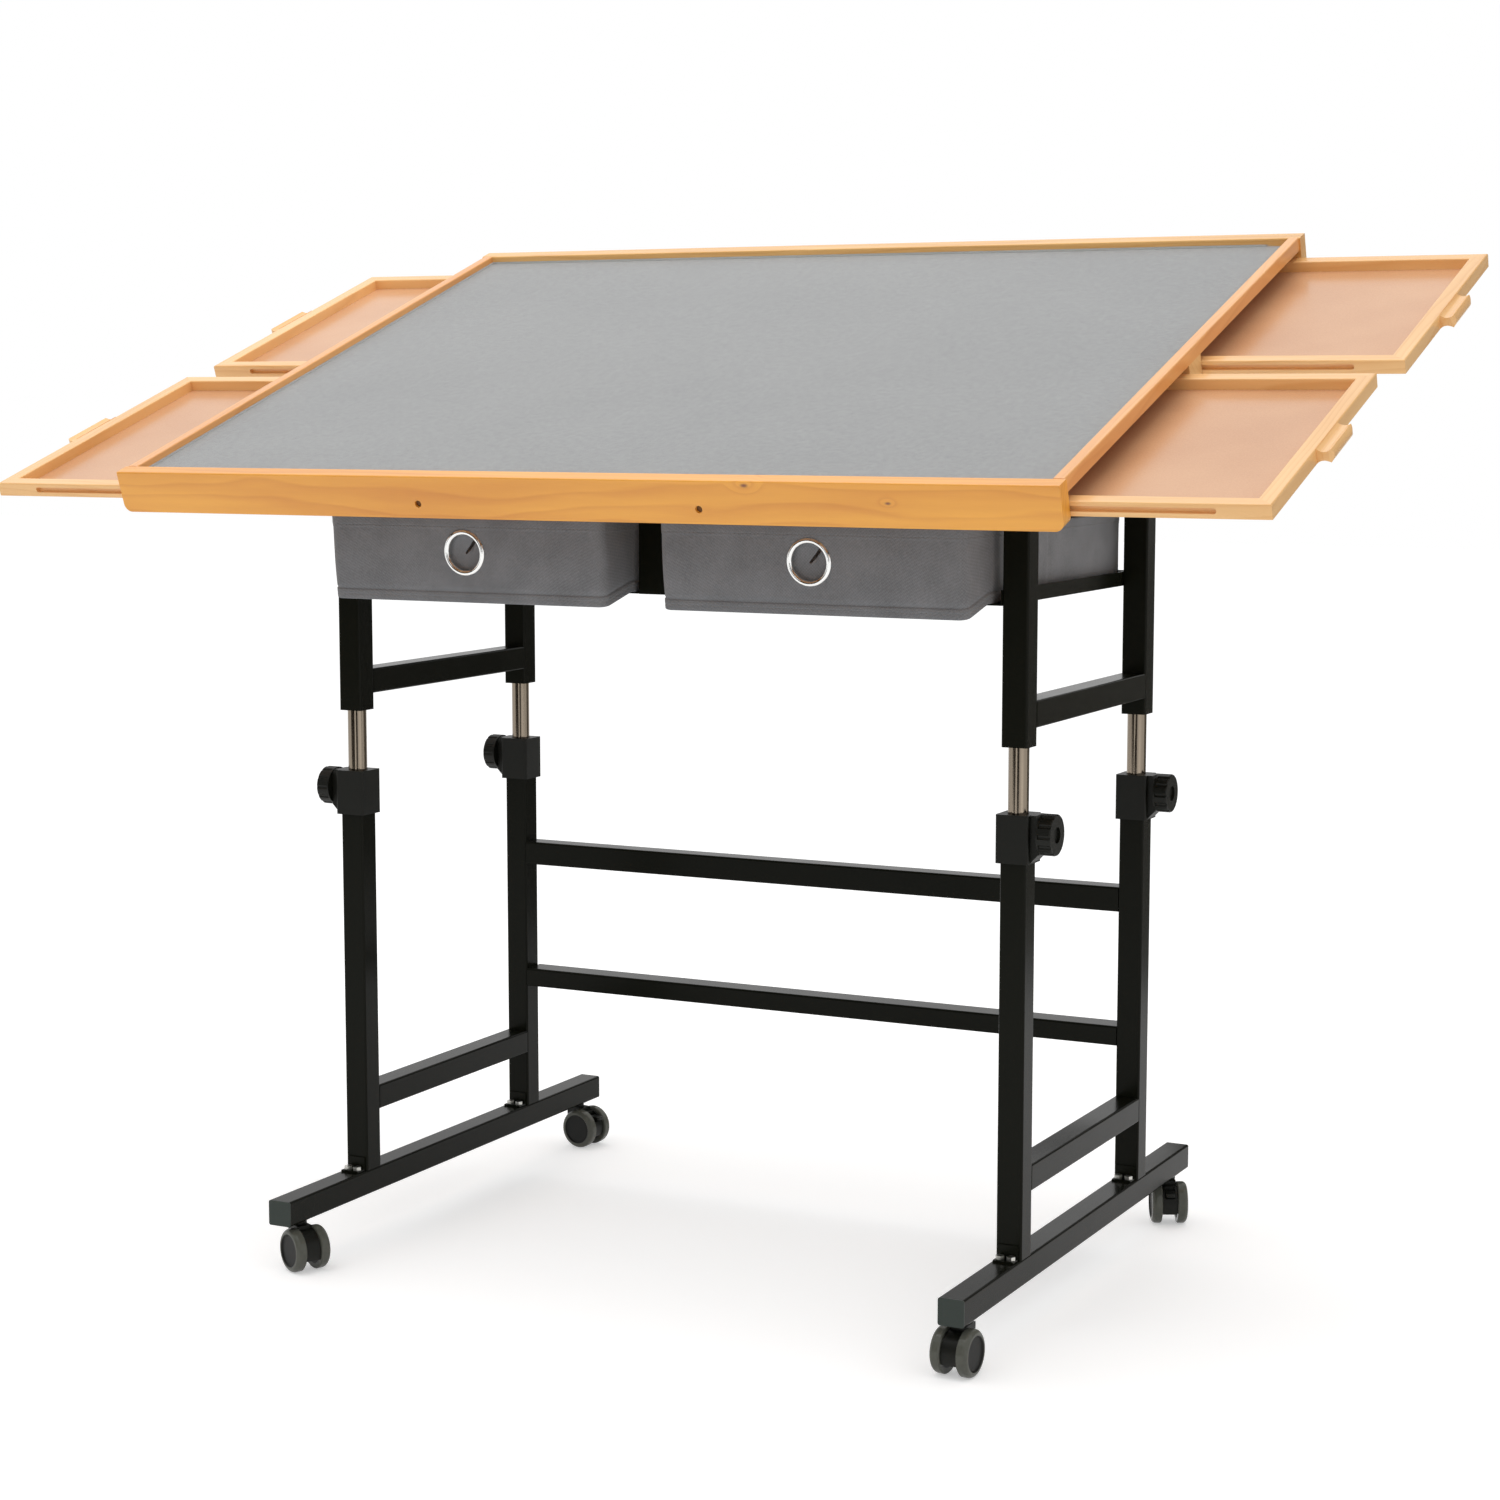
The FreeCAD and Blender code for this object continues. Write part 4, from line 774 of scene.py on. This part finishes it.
def bin_shell(seed):
    """Rows of a bin, up the outside and down the inside, and the number of the first one on the wall."""
    t = np.broadcast_to(columns, down_rows.shape)
    outside, normals = wall(t, down_rows, wall_height - down_rows, seed)
    outside = round_hole(outside)
    inside = outside - CLOTH * normals
    inside[..., 2] = np.maximum(inside[..., 2], bottom_edge(inside[..., 1]) + CLOTH)
    lower = outside[-1] - 0.8 * MM * normals[-1]
    lower[:, 2] = outside[-1, :, 2] - (wall_height - down_rows[-1])
    under = floor_rows(lower, 0.0)
    floor = floor_rows(inside[-1], CLOTH)
    crest = (outside[0] + inside[0]) / 2
    crest[:, 2] = BIN_TOP
    rows = np.concatenate([under[::-1], lower[None], outside[::-1], crest[None], inside, floor])
    return rows, len(under) + 1


def hole_loop(centre, way):
    """Vertices round a ring's block, corner by corner; way turns the rows about."""
    loop = []
    corners = ((-way, -1), (-way, 1), (way, 1), (way, -1))
    for here, after in zip(corners, corners[1:] + corners[:1]):
        for step in range(2 * HOLE_REACH):
            row = centre + HOLE_REACH * here[0] + step * (after[0] - here[0]) // 2
            column = MIDDLE + HOLE_REACH * here[1] + step * (after[1] - here[1]) // 2
            loop.append(row * COLUMNS + column)
    return loop


def shell_faces(count, first_wall):
    """Quads between all rows, without the rings' blocks, plus the hole's wall and both middles."""
    row, column = np.meshgrid(np.arange(count - 1), np.arange(COLUMNS), indexing="ij")
    following = (column + 1) % COLUMNS
    quads = np.stack([row * COLUMNS + column, row * COLUMNS + following,
                      (row + 1) * COLUMNS + following, (row + 1) * COLUMNS + column], axis=-1)
    outer_ring = first_wall + len(down_rows) - 1 - ring_row
    inner_ring = first_wall + len(down_rows) + 1 + ring_row
    in_columns = (column >= MIDDLE - HOLE_REACH) & (column < MIDDLE + HOLE_REACH)
    in_rows = np.zeros_like(in_columns)
    for centre in (outer_ring, inner_ring):
        in_rows |= (row >= centre - HOLE_REACH) & (row < centre + HOLE_REACH)
    faces = quads[~(in_columns & in_rows)].tolist()
    outer, inner = hole_loop(outer_ring, 1), hole_loop(inner_ring, -1)
    for number, vertex in enumerate(outer):
        after = (number + 1) % len(outer)
        faces.append([vertex, outer[after], inner[after], inner[number]])
    start, last = count * COLUMNS, (count - 1) * COLUMNS
    for number in range(COLUMNS):
        after = (number + 1) % COLUMNS
        faces.append([start, after, number])
        faces.append([start + 1, last + number, last + after])
    return faces


# %% [markdown]
# ### Sewing it up
#
# The rows become one mesh. Each vertex also gets its place on the cloth in metres, round the
# rim and along the profile, so that the weave follows the surface. A corner of a face takes
# its place from its own column, and the last column goes on to the full turn, so that no
# face runs back across the whole map.

# %% Mesh from rows of points


def mesh_object(name, vertices, faces):
    """A mesh object at the origin from arrays of points and faces, shaded smooth."""
    mesh = bpy.data.meshes.new(name)
    mesh.from_pydata(vertices.tolist(), [], faces)
    mesh.validate()
    mesh.polygons.foreach_set("use_smooth", np.ones(len(mesh.polygons), bool))
    made = bpy.data.objects.new(name, mesh)
    bpy.context.scene.collection.objects.link(made)
    return made


def vertex_of_corners(mesh):
    """Number of the vertex at each corner of each face."""
    numbers = np.empty(len(mesh.loops), np.int64)
    mesh.loops.foreach_get("vertex_index", numbers)
    return numbers


def lay_cloth_map(mesh, rows):
    """UV map in metres of cloth: arc length round the rim, and arc length down the profile."""
    steps = np.linalg.norm(np.diff(rows, axis=0), axis=-1)
    along_profile = np.concatenate([np.zeros((1, COLUMNS)), np.cumsum(steps, axis=0)]).ravel()
    places = np.append(columns, 1.0) * 2 * (BIN_WIDTH + BIN_DEPTH)
    corner = vertex_of_corners(mesh)
    size = rows.shape[0] * COLUMNS
    column = np.where(corner < size, corner % COLUMNS, -1)
    profile = np.append(along_profile, [0.0, along_profile[-1]])[corner]
    face_of = np.repeat(np.arange(len(mesh.polygons)), [p.loop_total for p in mesh.polygons])
    widest = np.zeros(len(mesh.polygons), np.int64)
    np.maximum.at(widest, face_of, column)
    wrapped = (column == 0) & (widest[face_of] > MIDDLE)
    turn = np.where(column < 0, widest[face_of], np.where(wrapped, COLUMNS, column))
    layer = mesh.uv_layers.new(name="cloth")
    layer.data.foreach_set("uv", np.stack([places[turn], profile], axis=1).ravel())


def sew_bin(side, seed):
    """One bin: shell and cloth map, placed where its node is."""
    centre = np.mean(corners_of("bin_" + side), axis=0)
    rows, first_wall = bin_shell(seed)
    faces = shell_faces(len(rows), first_wall)
    lowest = bottom_edge(0.0) - FLOOR_SAG
    vertices = np.concatenate([rows.reshape(-1, 3), [[0.0, 0.0, lowest], [0.0, 0.0, lowest + CLOTH]]])
    vertices[:, :2] += centre[:2]
    made = mesh_object("fabric_bin_" + side, vertices, faces)
    lay_cloth_map(made.data, rows)
    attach(made, "bin_" + side)
    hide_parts("bin_" + side)
    return made


bins = [sew_bin(side, seed) for side, seed in WAVE_SEEDS.items()]
print("bins:", [len(made.data.polygons) for made in bins])

# %% [markdown]
# ### The slit flap behind each ring
#
# A second layer of cloth lies behind the eyelet, so that nothing falls out through it, and a
# finger goes in through its slanting slit. The flap is a grid of cells in the plane of the
# leaning wall, turned so that the slit follows a row. A copy of the grid behind it and walls
# wherever a cell has no neighbour make it solid.

# %% Flaps behind the rings
FLAP_RADIUS = 21.6 * MM
FLAP_CELLS = 36
FLAP_BEHIND = 3.6 * MM
FLAP_THICK = 0.9 * MM
FLAP_SLACK = 2.0 * MM
SLIT_HALF = 1.2 * MM
SLIT_CURL = 2.5 * MM
SLIT_ENDS = (-2.0 * MM, 16.0 * MM)
SLIT_TURN = math.radians(50.0)


def solid_cells(kept):
    """Faces of the kept cells of a grid and of its copy behind, and walls where a cell has no neighbour."""
    row, behind = FLAP_CELLS + 1, (FLAP_CELLS + 1) ** 2
    kept = np.pad(kept, 1)
    faces = []
    for i, j in np.argwhere(kept) - 1:
        corners = [i * row + j, (i + 1) * row + j, (i + 1) * row + j + 1, i * row + j + 1]
        faces.append(corners)
        faces.append([behind + corner for corner in reversed(corners)])
        beside = (kept[i + 1, j], kept[i + 2, j + 1], kept[i + 1, j + 2], kept[i, j + 1])
        for number, neighbour in enumerate(beside):
            if not neighbour:
                first, second = corners[number], corners[(number + 1) % 4]
                faces.append([second, first, behind + first, behind + second])
    return np.array(faces)


def ring_flap(side):
    """A round flap with a slit: the kept cells of a turned grid, sagging inwards, made solid."""
    lean = math.atan2(FRONT_LEAN, BIN_TOP - bin_low[2])
    rightwards = np.array([1.0, 0.0, 0.0])
    upwards = np.array([0.0, -math.sin(lean), math.cos(lean)])
    inwards = np.array([0.0, math.cos(lean), math.sin(lean)])
    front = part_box("bin_" + side)[0][1] + math.tan(lean) * RING_DEPTH
    centre = np.array([np.mean(corners_of("bin_ring_" + side), axis=0)[0], front, BIN_TOP - RING_DEPTH])
    steps = np.linspace(-FLAP_RADIUS, FLAP_RADIUS, FLAP_CELLS + 1)
    along, across = np.meshgrid(steps, steps, indexing="ij")
    right = along * math.cos(SLIT_TURN) - across * math.sin(SLIT_TURN)
    up = along * math.sin(SLIT_TURN) + across * math.cos(SLIT_TURN)
    slack = FLAP_SLACK * np.clip(1 - (along**2 + across**2) / FLAP_RADIUS**2, 0, 1)
    curl = SLIT_CURL * np.exp(-((across / (4 * MM)) ** 2)) * (across < 0) * np.clip(along / (6 * MM), 0, 1)
    depth = FLAP_BEHIND + slack + curl
    layer = (centre + right[..., None] * rightwards + up[..., None] * upwards
             + depth[..., None] * inwards)
    points = np.concatenate([layer.reshape(-1, 3), (layer + FLAP_THICK * inwards).reshape(-1, 3)])
    middle = (steps[1:] + steps[:-1]) / 2
    cell_along, cell_across = np.meshgrid(middle, middle, indexing="ij")
    slit = (np.abs(cell_across) < SLIT_HALF) & (cell_along > SLIT_ENDS[0]) & (cell_along < SLIT_ENDS[1])
    kept = (np.hypot(cell_along, cell_across) < FLAP_RADIUS) & ~slit
    faces = solid_cells(kept)
    used, places = np.unique(faces, return_inverse=True)
    made = mesh_object("ring_flap_" + side, points[used], places.reshape(-1, 4).tolist())
    corner = used[vertex_of_corners(made.data)] % right.size
    flat = np.stack([right.ravel(), up.ravel()], axis=1)[corner]
    made.data.uv_layers.new(name="cloth").data.foreach_set("uv", flat.ravel())
    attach(made, "bin_" + side)
    return made


flaps = [ring_flap(side) for side in WAVE_SEEDS]
print("flaps:", [len(made.data.polygons) for made in flaps])

# %% [markdown]
# ### Coated polyester cloth
#
# The cloth is a plain weave with a matt back coating. Its threads are 0.5 mm apart, too fine
# to show from a few metres, so the weave is drawn three times as coarse. Uneven yarn makes
# a light and dark speckle, and slow patches drift across the cloth.

# %% Material of the bins
THREAD_DRAWN = 1.5 * MM


def woven(name, pale, dark):
    """Plain weave: a product of two sine waves on the cloth map, plus speckle of uneven yarn."""
    material, tree, shader = new_material(name)
    cloth = add(tree, "UVMap", uv_map="cloth")
    split = add(tree, "SeparateXYZ", {"Vector": cloth})
    waves = []
    for axis in ("X", "Y"):
        turned = add(tree, "Math", {0: split.outputs[axis], 1: math.pi / THREAD_DRAWN}, operation="MULTIPLY")
        waves.append(add(tree, "Math", {0: turned}, operation="SINE"))
    weave = add(tree, "Math", {0: waves[0], 1: waves[1]}, operation="MULTIPLY")
    place = add(tree, "TexCoord").outputs["Object"]
    yarn = add(tree, "TexNoise", {"Vector": place, "Scale": 520.0, "Detail": 2.0})
    patch = wander(tree, place, 30.0, -0.15, 0.15, levels=MIDDLE_LEVELS)
    height = add(tree, "Math", {0: weave, 1: 0.25}, operation="MULTIPLY")
    surface = add(tree, "Math", {0: height, 1: yarn}, operation="ADD")
    fleck = add(tree, "MapRange", {"Value": surface, "From Min": 0.0, "From Max": 1.0, "To Min": 0.0,
                                   "To Max": 0.75})
    depth = add(tree, "Math", {0: fleck, 1: patch}, operation="ADD", use_clamp=True)
    grey = add(tree, "Mix", {"Factor": depth, "A": colour(dark), "B": colour(pale)}, data_type="RGBA")
    bump = add(tree, "Bump", {"Height": surface, "Strength": 0.4, "Distance": 0.3 * MM})
    fill(tree, shader, {"Base Color": grey, "Roughness": 0.85, "Sheen Weight": 0.12, "Normal": bump})
    return material


bin_cloth = woven("coated_polyester", "#8B8D90", "#66686B")
for made in bins + flaps:
    made.data.materials.append(bin_cloth)
print("cloth on the bins")

# %% [markdown]
# ### Stitches
#
# The hem has two rows of lockstitch and the binding has one. A stitch is a short thick
# thread that dips into the cloth at both ends: a spindle with four sides. All stitches of a
# row are placed at once, from the wall's own formula, so that they lie in their grooves. The
# thread is plain polyester, which takes the recipe of the moulded plastics.

# %% Rows of stitches
STITCH_LENGTH = 3.2 * MM
STITCH_PITCH = 4.2 * MM
STITCH_FULL = 0.8
STITCH_POINTS = 10
THREAD = 0.35 * MM


def spindles(starts, ends, outwards, thickness):
    """Spindles from starts to ends: two squares of points each, and a tip in the cloth at both ends."""
    along = ends - starts
    along = along / np.linalg.norm(along, axis=1, keepdims=True)
    sideways = np.cross(along, outwards)
    vertices = [starts - outwards * thickness]
    for share in (0.2, 0.8):
        centre = starts + (ends - starts) * share
        for across, up in ((1, 0), (0, 1), (-1, 0), (0, -1)):
            vertices.append(centre + thickness * STITCH_FULL * (across * sideways + up * outwards))
    vertices.append(ends - outwards * thickness)
    vertices = np.stack(vertices, axis=1)
    pattern = []
    for corner in range(4):
        after = (corner + 1) % 4
        pattern.append([0, 1 + after, 1 + corner])
        pattern.append([1 + corner, 1 + after, 5 + after])
        pattern.append([1 + corner, 5 + after, 5 + corner])
        pattern.append([STITCH_POINTS - 1, 5 + corner, 5 + after])
    offsets = np.arange(len(starts))[:, None, None] * STITCH_POINTS
    return vertices.reshape(-1, 3), (np.array(pattern) + offsets).reshape(-1, 3)


def stitch_bin(side, seed):
    """All stitches of one bin as a single piece."""
    centre = np.mean(corners_of("bin_" + side), axis=0)
    count = int(2 * (BIN_WIDTH + BIN_DEPTH) / STITCH_PITCH)
    begin = np.arange(count) / count
    finish = begin + STITCH_LENGTH / STITCH_PITCH / count
    vertices, faces, offset = [], [], 0
    for from_rim, distance in STITCH_ROWS:
        ends = []
        for t in (begin, finish):
            y = rim(t)[1]
            height = BIN_TOP - bottom_edge(y + FRONT_LEAN * front_share(y))
            down = np.full(count, distance) if from_rim else height - distance
            points, normals = wall(t, down, height - down, seed)
            ends.append(points + normals * THREAD * 0.5)
        made, pattern = spindles(ends[0], ends[1], normals, THREAD)
        vertices.append(made)
        faces.append(pattern + offset)
        offset += len(made)
    vertices = np.concatenate(vertices)
    vertices[:, :2] += centre[:2]
    made = mesh_object("bin_stitches_" + side, vertices, np.concatenate(faces).tolist())
    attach(made, "bin_" + side)
    return made


thread = moulded("polyester_thread", "#8A8A88", 0.7, 0.1 * MM)
stitches = [stitch_bin(side, seed) for side, seed in WAVE_SEEDS.items()]
for made in stitches:
    made.data.materials.append(thread)
print("stitches:", [len(made.data.vertices) // STITCH_POINTS for made in stitches])

# %% [markdown]
# ## Studio
#
# The table stands on white paper in a white studio. The paper is lit as the object is, and
# for camera, glossy and transmission rays it is lifted a little, so that it runs into the
# white world behind it without a line and still keeps the table's soft shadow. Four dark
# flags stand round the table and are met only by reflections. Photographers use such flags
# to give chrome its dark bands and black paint its depth.

# %% Paper floor and dark flags
FLOOR_HALF = 14.0
PAPER_LIFT = 0.39


def rectangle(name, corner, first, second):
    """A flat sheet from one corner along two sides."""
    corner, first, second = (np.array(value, float) for value in (corner, first, second))
    points = np.array([corner, corner + first, corner + first + second, corner + second])
    return mesh_object(name, points, [[0, 1, 2, 3]])


def seen_rays(tree):
    """1 for camera, glossy and transmission rays, 0 for the rays that light the object."""
    rays = add(tree, "LightPath").outputs
    either = add(tree, "Math", {0: rays["Is Camera Ray"], 1: rays["Is Glossy Ray"]}, operation="MAXIMUM")
    return add(tree, "Math", {0: either, 1: rays["Is Transmission Ray"]}, operation="MAXIMUM")


paper, paper_tree, paper_shader = new_material("white_paper")
lift = add(paper_tree, "Math", {0: seen_rays(paper_tree), 1: PAPER_LIFT}, operation="MULTIPLY")
fill(paper_tree, paper_shader, {"Base Color": colour("#F4F4F4"), "Roughness": 1.0, "Specular IOR Level": 0.0,
                                "Emission Color": colour("#FFFFFF"), "Emission Strength": lift})
floor = rectangle("paper_floor", (-FLOOR_HALF, -FLOOR_HALF, 0), (2 * FLOOR_HALF, 0, 0),
                  (0, 2 * FLOOR_HALF, 0))
floor.data.materials.append(paper)


def flag(name, code, corner, width, height):
    """An upright sheet of cloth that only reflections meet."""
    material, tree, shader = new_material(name)
    fill(tree, shader, {"Base Color": colour(code), "Roughness": 1.0})
    made = rectangle(name, corner, width, (0, 0, height))
    made.data.materials.append(material)
    made.visible_camera = made.visible_diffuse = made.visible_shadow = False
    return made


flags = [
    flag("flag_wide", "#332F29", (-3.4, -3.05, 0), (3.1, 0, 0), 3.0),
    flag("flag_narrow", "#332F29", (0.55, -3.05, 0), (1.35, 0, 0), 3.0),
    flag("flag_behind", "#8E8B85", (0.66, 1.45, 0), (2.6, 0.5, 0), 3.0),
    flag("flag_low", "#4A4640", (0.02, 1.33, 0), (0.62, 0.12, 0), 0.65),
]
print("paper and flags")

# %% World and lamps
WORLD_LEVEL = 0.78

world = bpy.data.worlds.new("studio")
bpy.context.scene.world = world
world.use_nodes = True
sky = world.node_tree
sky.nodes.clear()
level = add(sky, "MapRange", {"Value": seen_rays(sky), "To Min": WORLD_LEVEL, "To Max": 1.0})
background = add(sky, "Background", {"Color": (1.0, 1.0, 1.0, 1.0), "Strength": level})
add(sky, "OutputWorld", {"Surface": background})


def softbox(name, place, target, size, power):
    """A square area lamp that points from its place to a target."""
    lamp = bpy.data.lights.new(name, "AREA")
    lamp.size = size
    lamp.energy = power
    made = bpy.data.objects.new(name, lamp)
    made.location = place
    towards = np.array(target) - np.array(place)
    heading = math.atan2(towards[0], -towards[1])
    drop = math.atan2(math.hypot(towards[0], towards[1]), -towards[2])
    made.rotation_euler = (drop, 0.0, heading)
    bpy.context.scene.collection.objects.link(made)
    return made


softbox("lamp_above", (-0.4, -0.3, 3.2), (0.0, 0.0, 0.7), 2.6, 36.0)
softbox("lamp_right", (3.2, -1.7, 1.0), (0.0, 0.0, 0.7), 1.6, 32.0)
softbox("lamp_front", (-0.8, -3.4, 2.1), (0.0, 0.0, 0.6), 1.8, 46.0)
print("studio lit")

# %% [markdown]
# ## Camera
#
# The camera looks from low on the right, close enough that the table's own lines converge.

# %% Camera
camera_data = bpy.data.cameras.new("camera")
camera_data.lens = 71.9
camera_data.sensor_width = 36.0
camera = bpy.data.objects.new("camera", camera_data)
camera.location = (1.3309, -2.6255, 0.8597)
camera.rotation_euler = (math.radians(83.22), 0.0, math.radians(26.663))
bpy.context.scene.collection.objects.link(camera)
bpy.context.scene.camera = camera
bpy.context.scene.view_settings.view_transform = "Standard"
print("camera at", [round(value, 3) for value in camera.location])
